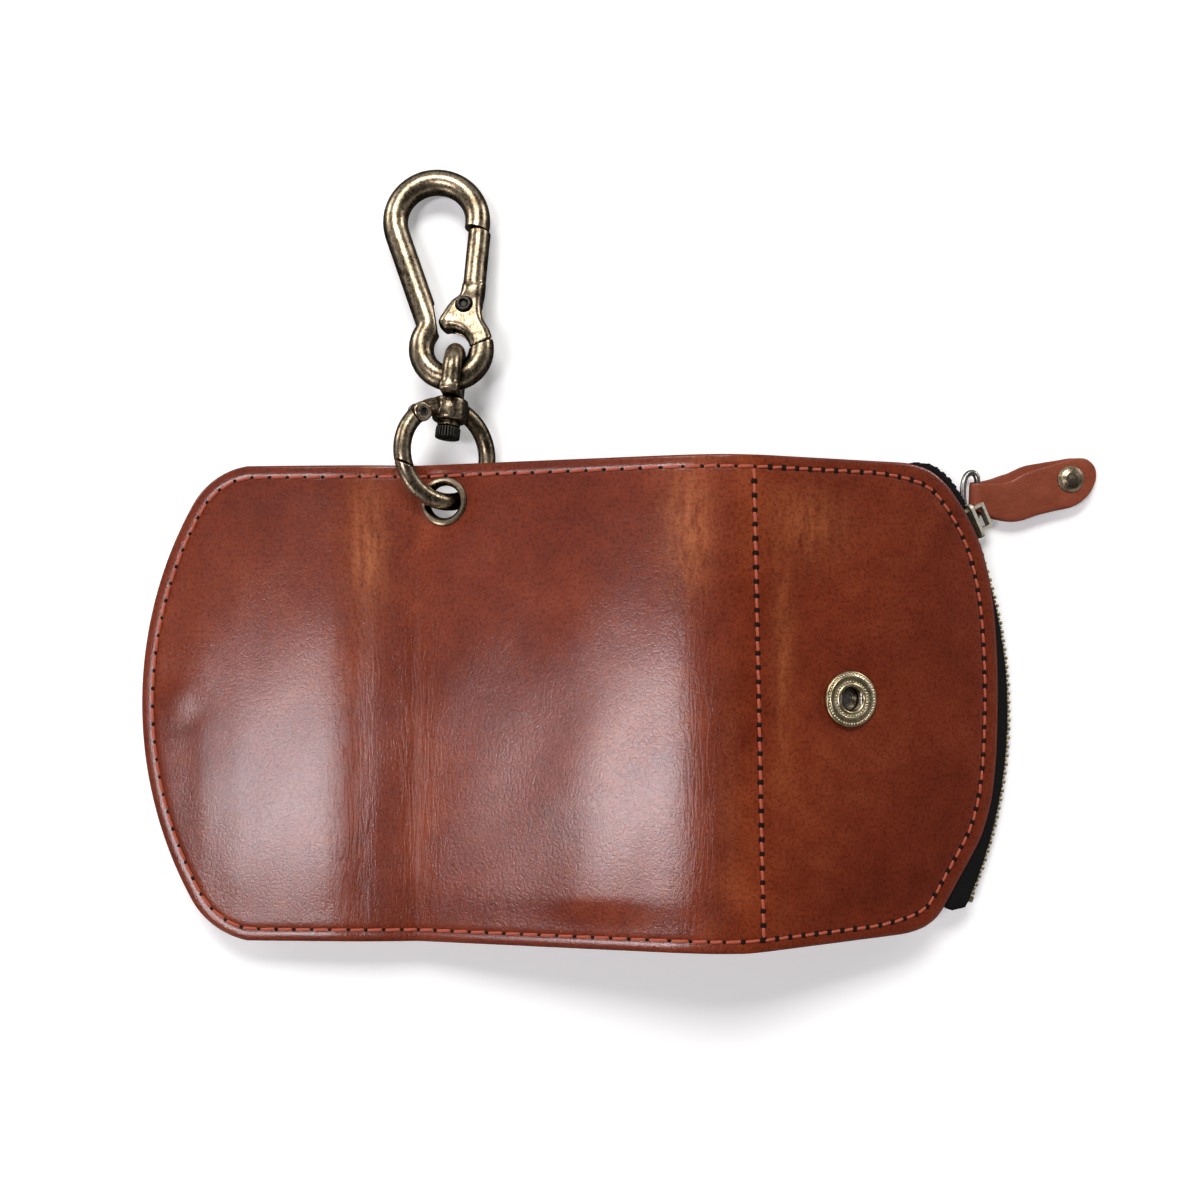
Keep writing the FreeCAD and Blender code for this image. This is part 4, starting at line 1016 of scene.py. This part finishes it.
# ------------------------------------------------------------------ snap socket: turned cap with two beaded rings
def lathe(vs, fs, prof, n=96):
    base = len(vs)
    m = len(prof)
    for i in range(n):
        th = 2 * math.pi * i / n
        for r, z in prof:
            vs.append((SNAP[0] + r * math.cos(th), SNAP[1] + r * math.sin(th), z))
    for i in range(n):
        k = (i + 1) % n
        for j in range(m - 1):
            fs.append((base + i * m + j, base + k * m + j, base + k * m + j + 1, base + i * m + j + 1))


def beads(vs, fs, r, z, count, size):
    for c in range(count):
        a = 2 * math.pi * c / count
        ctr = (SNAP[0] + r * math.cos(a), SNAP[1] + r * math.sin(a))
        base = len(vs)
        na, nb = 8, 4
        for i in range(nb):
            e = math.pi / 2 * i / nb
            for j in range(na):
                p = 2 * math.pi * j / na
                dr, dt = size * math.cos(e) * math.cos(p), size * 0.9 * math.cos(e) * math.sin(p)
                vs.append((ctr[0] + dr * math.cos(a) - dt * math.sin(a), ctr[1] + dr * math.sin(a) + dt * math.cos(a), z + size * 0.75 * math.sin(e)))
        vs.append((*ctr, z + size * 0.75))
        for i in range(nb - 1):
            for j in range(na):
                q = (j + 1) % na
                fs.append((base + i * na + j, base + i * na + q, base + (i + 1) * na + q, base + (i + 1) * na + j))
        for j in range(na):
            fs.append((base + (nb - 1) * na + j, base + (nb - 1) * na + (j + 1) % na, base + nb * na))


vs, fs = [], []
lathe(vs, fs, [
    (2.65, 1.25), (2.62, 2.4), (2.62, 3.05), (2.66, 3.30), (2.78, 3.46), (2.98, 3.54), (3.20, 3.50), (3.36, 3.40), (3.46, 3.33), (3.86, 3.33), (3.96, 3.37),
    (4.06, 3.42), (4.95, 3.42), (5.05, 3.38), (5.14, 3.30), (5.58, 3.26), (5.70, 3.26), (5.84, 3.18), (5.97, 3.00), (6.03, 2.75), (6.02, 2.45), (5.95, 2.22), (5.4, 2.16),
])
beads(vs, fs, 5.36, 3.26, 52, 0.25)
beads(vs, fs, 3.66, 3.31, 34, 0.24)
vs = np.array(vs)
o = mesh_object("snap_socket_cap_beaded", lay(vs[:, 0], vs[:, 1], vs[:, 2]), fs)
o.data.materials.append(pale)
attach(o, "pocket")
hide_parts("snap_socket")

# ------------------------------------------------------------------ pull tab: one strap folded round the slider's wire loop
tj = joints["pull_tab_flip"]
T0 = np.array(tj["pos_m"])
TY = np.array(tj["axis"])
TX = np.cross(TY, (0.0, 0.0, 1.0))
TX /= np.linalg.norm(TX)
TZ = np.cross(TX, TY)
tab_pts = spline(np.array([
    (0.0, -5.2), (3.3, -6.3), (8.1, -7.0), (10.3, -6.65), (13.3, -5.5), (17.7, -4.2), (22.2, -2.9), (25.1, -0.2), (26.4, 3.6), (25.9, 6.0), (24.2, 7.5), (21.6, 7.6),
    (17.4, 6.3), (13.3, 5.0), (10.0, 3.7), (7.8, 2.3), (5.6, 1.5), (3.0, 1.2), (0.0, 1.2),
]), 30, (1.0, -0.3), (-1.0, 0.0))
tip = int(np.argmax(tab_pts[:, 0]))
low_side, high_side = tab_pts[: tip + 1], tab_pts[tip:][::-1]
TIP = tab_pts[tip]


def tab_sides(x, rear):
    """Lower and upper edge of the strap at x; the rear layer stands out above the front one."""
    lo, hi = np.interp(x, low_side[:, 0], low_side[:, 1]), np.interp(x, high_side[:, 0], high_side[:, 1])
    more = np.interp(x, [0, 3, 5, 8, 10, 13, 18, 21.5, 24.5], [0.5, 1.3, 1.9, 2.1, 1.8, 1.3, 0.7, 0.15, 0.0])
    return lo, hi + rear * more


far = [3.6 + (TIP[0] - 3.6) * (1 - (1 - t) ** 2) for t in np.linspace(0, 1, 30)][1:-1] + [TIP[0] - 0.05, TIP[0] - 0.008]
near_x = [0.6, 1.2, 1.8, 2.4, 3.0, 3.6]


def layer(x):
    """Outer and inner height of one layer of the strap at x."""
    g = smooth01(x / 6.0)
    return 1.68 - 0.70 * g, 0.70 - 0.68 * g


stations = []
for x in (near_x + far)[::-1]:
    zo, zi = layer(x)
    stations.append((x, -float(zo), x, -float(zi)))
for i in range(13):
    a = -math.pi / 2 - math.pi * i / 12
    stations.append((1.68 * math.cos(a), 1.68 * math.sin(a), 0.70 * math.cos(a), 0.70 * math.sin(a)))
for x in near_x + far:
    zo, zi = layer(x)
    stations.append((x, float(zo), x, float(zi)))
V_ACROSS = np.array([-1, -0.985, -0.95, -0.87, -0.7, -0.4, 0, 0.4, 0.7, 0.87, 0.95, 0.985, 1])
DROP = np.array([0.34, 0.16, 0.05, 0.0, -0.03, -0.05, -0.05, -0.05, -0.03, 0.0, 0.05, 0.16, 0.34])
vs, fs = [], []
m = 2 * len(V_ACROSS)
for xo, zo, xi, zi in stations:
    lo, hi = tab_sides(min(max(xo, 0.0), TIP[0] - 0.001), 1.0 if zo < -0.9 else 0.0 if zo > 0.9 else 0.5 - zo / 1.8)
    c, h = (lo + hi) / 2, (hi - lo) / 2
    k = min(1.0, h / 2.0)
    ln = math.hypot(xo - xi, zo - zi)
    ux, uz = (xo - xi) / ln, (zo - zi) / ln
    for v1, d in zip(V_ACROSS, DROP):
        vs.append(T0 + (TX * (xo - ux * d * k) + TY * (c + h * v1) + TZ * (zo - uz * d * k)) / 1000)
    for v1, d in zip(V_ACROSS[::-1], DROP[::-1]):
        vs.append(T0 + (TX * (xi + ux * d * 0.3 * k) + TY * (c + h * v1) + TZ * (zi + uz * d * 0.3 * k)) / 1000)
for s_ in range(len(stations) - 1):
    for j in range(m):
        q = (j + 1) % m
        fs.append((s_ * m + j, (s_ + 1) * m + j, (s_ + 1) * m + q, s_ * m + q))
fs.append(tuple(range(m)))
fs.append(tuple(reversed([(len(stations) - 1) * m + j for j in range(m)])))
o = mesh_object("pull_tab_strap", vs, fs)
bm = bmesh.new()
bm.from_mesh(o.data)
bmesh.ops.recalc_face_normals(bm, faces=bm.faces)
bm.to_mesh(o.data)
bm.free()
o.data.materials.append(tab_leather)
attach(o, "pull_tab")
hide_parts("pull_tab_leather")

# ------------------------------------------------------------------ cast metal: smooth bodies from distance functions
def nets(fn, lo, hi, h):
    """Closed mesh of fn < 0 on a grid of step h: one vertex in each cell that the surface passes through."""
    ax = [np.arange(a, b + h, h) for a, b in zip(lo, hi)]
    f = fn(*np.meshgrid(*ax, indexing="ij"))
    ins = f < 0
    shape = tuple(n - 1 for n in f.shape)
    acc, cnt = np.zeros(shape + (3,)), np.zeros(shape)
    cell = np.stack(np.meshgrid(*[np.arange(n) for n in shape], indexing="ij"), -1).astype(float)
    for axis in range(3):
        o1, o2 = [q for q in range(3) if q != axis]
        for d1 in (0, 1):
            for d2 in (0, 1):
                off = [0, 0, 0]
                off[o1], off[o2] = d1, d2
                a = f[tuple(slice(off[q], off[q] + shape[q]) for q in range(3))]
                off2 = list(off)
                off2[axis] = 1
                b = f[tuple(slice(off2[q], off2[q] + shape[q]) for q in range(3))]
                m = (a < 0) != (b < 0)
                pos = cell[m] + np.array(off, float)
                pos[:, axis] += a[m] / (a[m] - b[m])
                acc[m] += pos
                cnt[m] += 1
    used = cnt > 0
    idx = np.full(shape, -1)
    idx[used] = np.arange(used.sum())
    verts = np.array(lo) + h * acc[used] / cnt[used][:, None]
    faces = []
    ring = {0: ((0, -1, -1), (0, 0, -1), (0, 0, 0), (0, -1, 0)), 1: ((-1, 0, -1), (-1, 0, 0), (0, 0, 0), (0, 0, -1)), 2: ((-1, -1, 0), (0, -1, 0), (0, 0, 0), (-1, 0, 0))}
    for axis in range(3):
        lo_s = tuple(slice(0, -1) if q == axis else slice(1, -1) for q in range(3))
        hi_s = tuple(slice(1, None) if q == axis else slice(1, -1) for q in range(3))
        m = ins[lo_s] != ins[hi_s]
        at = np.argwhere(m) + np.array([0 if q == axis else 1 for q in range(3)])
        out = ins[tuple(at.T)]
        quad = np.stack([idx[tuple((at + np.array(c)).T)] for c in ring[axis]], 1)
        quad[~out] = quad[~out][:, ::-1]
        faces.append(quad)
    return verts, np.vstack(faces)


def join(a, b, k):
    h = np.clip(0.5 + 0.5 * (b - a) / k, 0, 1)
    return b + (a - b) * h - k * h * (1 - h)


def outline_dist(P, x, y):
    """Signed distance to a closed polygon, negative inside."""
    d = np.full(x.shape, 1e9)
    odd = np.zeros(x.shape, bool)
    for (ax_, ay), (bx, by) in zip(P, P[1:] + P[:1]):
        ex, ey = bx - ax_, by - ay
        t = np.clip(((x - ax_) * ex + (y - ay) * ey) / (ex * ex + ey * ey), 0, 1)
        d = np.minimum(d, np.hypot(x - ax_ - t * ex, y - ay - t * ey))
        odd ^= ((ay > y) != (by > y)) & (x < ex * (y - ay) / (by - ay + 1e-12) + ax_)
    return np.where(odd, -d, d)


def plate(d2, z, half, r):
    """Flat plate from an outline distance, its rims rounded by r."""
    qx, qz = d2 + r, np.abs(z) - half + r
    return np.minimum(np.maximum(qx, qz), 0) + np.hypot(np.maximum(qx, 0), np.maximum(qz, 0)) - r


def bar(x, y, z, a, b, r):
    a, b = np.array(a, float), np.array(b, float)
    e = b - a
    t = np.clip(((x - a[0]) * e[0] + (y - a[1]) * e[1] + (z - a[2]) * e[2]) / (e @ e), 0, 1)
    return np.sqrt((x - a[0] - t * e[0]) ** 2 + (y - a[1] - t * e[1]) ** 2 + (z - a[2] - t * e[2]) ** 2) - r


def turned(v, axis, deg):
    return np.array(Matrix.Rotation(math.radians(deg), 3, Vector(axis)) @ Vector(v))


def cast(name, fn, lo, hi, h, frame_of, mat, body, node):
    o_, x_, y_, z_ = frame_of
    v_, f_ = nets(fn, lo, hi, h)
    co = o_ + (v_[:, :1] * x_ + v_[:, 1:2] * y_ + v_[:, 2:] * z_) / 1000.0
    ob_ = mesh_object(name, co, f_)
    ob_.data.materials.append(mat)
    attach(ob_, body)
    if node:
        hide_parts(node)
    return ob_


# carabiner gate: a round bar that widens into two cheeks with a beak over the eye
KP = np.array([3.78, 8.64, 0.0])
kz = np.array(joints["carabiner_gate_open"]["axis"])
eye_w = np.array(joints["carabiner_sway"]["pos_m"])
kd = np.array(joints["carabiner_gate_open"]["pos_m"]) - eye_w
GROWN = float(np.linalg.norm(kd) * 1000.0 / np.linalg.norm(KP))
kd /= np.linalg.norm(kd)
kx = turned(kd, kz, -math.degrees(math.atan2(KP[1], KP[0])))
ky = np.cross(kz, kx)
HOOK = (eye_w, kx * GROWN, ky * GROWN, kz * GROWN)
eye_edge = [(3.85 * math.cos(math.radians(d)), 3.85 * math.sin(math.radians(d))) for d in (100, 85, 70, 55, 40, 25, 10, -5, -20)]
gate_outline = [
    (4.0, 13.4), (3.55, 12.0), (2.9, 11.1), (1.42, 10.32), (0.3, 9.15), (-0.785, 7.8), (-1.6, 6.75), (-2.0, 6.1), (-2.0, 5.5), (-1.75, 5.0), (-1.3, 4.4),
] + eye_edge + [
    (4.6, -2.4), (9.0, -0.2), (8.95, 1.1), (8.8, 2.0), (8.46, 3.08), (7.9, 4.3), (7.5, 5.3), (7.36, 6.4), (7.42, 7.9), (7.8, 10.5), (8.3, 13.0),
]
GUP = np.array([4.27, 16.46, 0.0]) / math.hypot(4.27, 16.46)


def gate_dist(x, y, z):
    d = plate(outline_dist(gate_outline, x[:, :, 0], y[:, :, 0])[:, :, None], z, 2.42, 1.55)
    d = join(d, bar(x, y, z, (5.9, 11.5, 0), (9.1, 27.0, 0), 2.38), 0.9)
    d = np.maximum(d, (x - KP[0]) * GUP[0] + (y - KP[1]) * GUP[1] - 16.95)
    rad = np.hypot(x - KP[0], y - KP[1])
    d = np.where((y < 3.0) & (x > 2.4), np.maximum(d, rad - 9.08), d)
    slot = np.maximum(np.abs(z) - 1.2, np.minimum(rad - 2.85, np.maximum(KP[0] - 3.0 - x, y - KP[1])))
    d = np.maximum(d, -slot)
    d = np.maximum(d, -np.maximum(rad - 1.72, 2.18 - np.abs(z)))
    return np.maximum(d, 0.97 - rad)


cast("carabiner_gate_cast", gate_dist, (-3.0, -2.4, -3.0), (11.6, 26.0, 3.0), 0.19, HOOK, antique, "carabiner_gate", "carabiner_gate")

# gate ring: ring bar, hinge knuckle and the collar that the swivel turns in
rn = -np.array(joints["ring_turn"]["axis"])
ring_w = np.array(joints["ring_turn"]["pos_m"])
sx = np.array(joints["swivel_turn"]["axis"])
rx = turned(sx, rn, -83.0)
RING = (ring_w, rx, np.cross(rn, rx), rn)
HP = 10.5 * np.array([math.cos(math.radians(127)), math.sin(math.radians(127)), 0])
BE = np.array([math.cos(math.radians(83)), math.sin(math.radians(83)), 0])
NOSE = 10.5 * np.array([math.cos(math.radians(198)), math.sin(math.radians(198)), 0])
NOSE_R = float(np.linalg.norm(NOSE - HP))


def ring_dist(x, y, z):
    ang = np.degrees(np.arctan2(y, x)) % 360.0
    tor = np.hypot(np.hypot(x, y) - 10.5, z) - 1.9
    rad = np.hypot(x - HP[0], y - HP[1])
    in_gate = (ang > 127.0) & (ang < 206.0)
    tor = np.where(in_gate, np.maximum(tor, np.where(ang > 160.0, NOSE_R + 0.22 - rad, 0.4)), tor)
    knuckle = plate(rad - 2.15, z, 1.95, 0.5)
    along = x * BE[0] + y * BE[1]
    across = np.sqrt(np.maximum(x * x + y * y + z * z - along**2, 0))
    qx, qz = across - 3.92 + 0.55 + 0.07 * np.abs(along - 9.7), np.abs(along - 9.7) - 2.5 + 0.55
    collar = np.minimum(np.maximum(qx, qz), 0) + np.hypot(np.maximum(qx, 0), np.maximum(qz, 0)) - 0.55
    sleeve = np.maximum(across - 2.5, np.abs(along - 7.3) - 1.2)
    d = join(join(tor, knuckle, 0.3), join(collar, sleeve, 0.3), 0.35)
    d = np.maximum(d, -np.maximum(rad - 2.6, np.abs(z) - 0.95))
    d = np.maximum(d, 0.6 - rad)
    return np.maximum(d, -np.maximum(across - 1.58, 2.0 - along))


cast("gate_ring_cast", ring_dist, (-13.2, -13.2, -4.4), (13.2, 13.2, 4.4), 0.19, RING, antique, "gate_ring", "gate_ring_body")

# swivel loop on its shank, and the slotted nut under the collar
ly = np.array((0.0, 0.0, 1.0)) - sx * sx[2]
ly /= np.linalg.norm(ly)
LOOP_F = (ring_w, sx, ly, np.cross(sx, ly))


def loop_dist(x, y, z):
    bow = np.where(x > 17.2, np.hypot(np.hypot(x - 17.2, y) - 5.4, z) - 2.0, np.maximum(np.hypot(np.abs(y) - 5.4, z) - 2.0, 12.9 - x))
    foot_y, foot_z, foot_x = np.abs(y) - 7.2 + 0.6, np.abs(z) - 2.0 + 0.6, np.abs(x - 13.25) - 0.85 + 0.6
    foot = np.sqrt(np.maximum(foot_y, 0) ** 2 + np.maximum(foot_z, 0) ** 2 + np.maximum(foot_x, 0) ** 2) + np.minimum(np.maximum(np.maximum(foot_y, foot_z), foot_x), 0) - 0.6
    shank = np.maximum(np.hypot(y, z) - 1.5, np.abs(x - 9.2) - 3.5)
    return np.minimum(join(bow, foot, 0.8), shank)


cast("swivel_loop_cast", loop_dist, (5.3, -8.2, -2.8), (25.2, 8.2, 2.8), 0.19, LOOP_F, antique, "swivel", "swivel_loop")


def nut_dist(x, y, z):
    rad = np.hypot(y, z)
    th = np.arctan2(z, y)
    groove = np.cos(12 * th) ** 10
    d = plate(rad - 2.72 + 0.34 * groove, x - 4.65, 1.22, 0.25)
    return np.maximum(d, -np.maximum(rad - 0.9, x - 3.7))


cast("swivel_nut_slotted", nut_dist, (3.1, -3.1, -3.1), (6.2, 3.1, 3.1), 0.11, LOOP_F, black_steel, "swivel", "swivel_shank_head")

# wire loop of the slider: its straight side lies in the fold of the strap, its bow runs back to the slider's bridge
def tube(path, r, normal, k=14):
    """Closed round bar along a closed path that lies roughly across normal."""
    t = np.roll(path, -1, 0) - np.roll(path, 1, 0)
    t /= np.linalg.norm(t, axis=1)[:, None]
    n1 = np.cross(t, normal)
    n1 /= np.linalg.norm(n1, axis=1)[:, None]
    n2 = np.cross(n1, t)
    vs, fs, n = [], [], len(path)
    for i in range(n):
        for j in range(k):
            a = 2 * math.pi * j / k
            vs.append(path[i] + r * (math.cos(a) * n1[i] + math.sin(a) * n2[i]))
    for i in range(n):
        for j in range(k):
            q, w = (j + 1) % k, (i + 1) % n
            fs.append((i * k + j, i * k + q, w * k + q, w * k + j))
    return vs, fs


bow = np.array([
    (0.0, -5.2, 0.3), (0.0, -3.0, 0.0), (0.0, 0.0, 0.0), (0.0, 1.9, 0.0), (-0.25, 2.9, 0.05), (-0.95, 3.6, 0.15), (-1.9, 3.5, 0.25), (-2.75, 2.6, 0.35),
    (-3.2, 1.0, 0.5), (-3.3, -1.2, 0.7), (-3.05, -3.4, 0.9), (-2.4, -5.3, 1.1), (-1.5, -6.7, 1.2), (-0.7, -7.0, 1.0), (-0.15, -6.4, 0.7),
])
dense = []
nb_ = len(bow)
for i in range(nb_):
    p0, p1, p2, p3 = bow[i - 1], bow[i], bow[(i + 1) % nb_], bow[(i + 2) % nb_]
    for u in np.linspace(0, 1, 9)[:-1]:
        dense.append(0.5 * (2 * p1 + (p2 - p0) * u + (2 * p0 - 5 * p1 + 4 * p2 - p3) * u**2 + (3 * p1 - p0 - 3 * p2 + p3) * u**3))
dense = np.array(dense)
path = T0 + (dense[:, :1] * TX + dense[:, 1:2] * TY + dense[:, 2:] * TZ) / 1000.0
vs, fs = tube(path, 0.00068, TZ)
o = mesh_object("slider_bail_bent", vs, fs)
bm = bmesh.new()
bm.from_mesh(o.data)
bmesh.ops.recalc_face_normals(bm, faces=bm.faces)
bm.to_mesh(o.data)
bm.free()
o.data.materials.append(steel)
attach(o, "bail")
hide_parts("slider_bail")


# peened pins: a dark domed rim with a dimple
def pin_head(x, y, z):
    rad = np.hypot(x, y)
    rim = np.hypot(rad - 1.18, np.abs(z) - 2.5) - 0.40
    core = np.maximum(rad - 0.9, np.abs(z) - 2.35)
    return np.minimum(rim, core)


PIN = (eye_w + GROWN * (KP[0] * kx + KP[1] * ky) / 1000.0, kx * GROWN, ky * GROWN, kz * GROWN)
cast("carabiner_pin_peened", pin_head, (-1.9, -1.9, -3.2), (1.9, 1.9, 3.2), 0.11, PIN, black_steel, "carabiner", "carabiner_pin")


def small_pin(x, y, z):
    rad = np.hypot(x, y)
    rim = np.hypot(rad - 0.75, np.abs(z) - 1.95) - 0.24
    core = np.maximum(rad - 0.55, np.abs(z) - 1.85)
    return np.minimum(rim, core)


PIN2 = (np.array(joints["ring_gate_open"]["pos_m"]), rx, np.cross(rn, rx), rn)
cast("gate_ring_pin_peened", small_pin, (-1.3, -1.3, -2.5), (1.3, 1.3, 2.5), 0.09, PIN2, black_steel, "gate_ring", "gate_ring_pin")

# ------------------------------------------------------------------ CAD nodes that stay, with their finishes
FINISH = {
    "slider": slider_brass, "antique": antique, "pale": pale, "nickel": nickel, "steel": steel, "gold": gold,
}
NODE_FINISH = {
    "eyelet_front": "antique", "eyelet_washer": "antique", "gate_ring_body": "antique", "gate_ring_gate": "antique",
    "gate_ring_pin": "steel", "gate_ring_spring": "steel", "swivel_loop": "antique", "swivel_shank_head": "antique",
    "carabiner_body": "antique", "carabiner_gate": "antique", "carabiner_pin": "steel", "carabiner_spring": "steel",
    "snap_socket": "pale", "snap_socket_spring": "nickel", "snap_socket_cap": "steel", "snap_stud": "pale", "snap_stud_post": "pale",
    "key_plate": "nickel", "key_plate_rivets": "nickel", "key_rod": "nickel", "key_hook_1": "nickel", "key_hook_2": "nickel",
    "key_hook_3": "nickel", "key_hook_4": "nickel", "zipper_bottom_stop": "gold", "zipper_slider": "slider", "slider_bail": "steel",
    "pull_tab_rivet": "antique", "pull_tab_rivet_back": "antique", "zipper_teeth_upper": "gold", "zipper_teeth_lower": "gold",
}
for name, fin in NODE_FINISH.items():
    ob = frame["nodes"][name]
    if ob.hide_render:
        continue
    ob.data.materials.clear()
    ob.data.materials.append(FINISH[fin])
for name in ("zipper_tape_upper", "zipper_tape_lower"):
    ob = frame["nodes"][name]
    if not ob.hide_render:
        ob.data.materials.clear()
        ob.data.materials.append(hole_painted_shade)
for name, width in (("zipper_slider", 0.00035), ("carabiner_body", 0.00030), ("key_plate", 0.00025)):
    bv = frame["nodes"][name].modifiers.new("worn_edges", "BEVEL")
    bv.width, bv.segments, bv.limit_method, bv.angle_limit = width, 3, "ANGLE", math.radians(40)

bpy.context.view_layer.update()
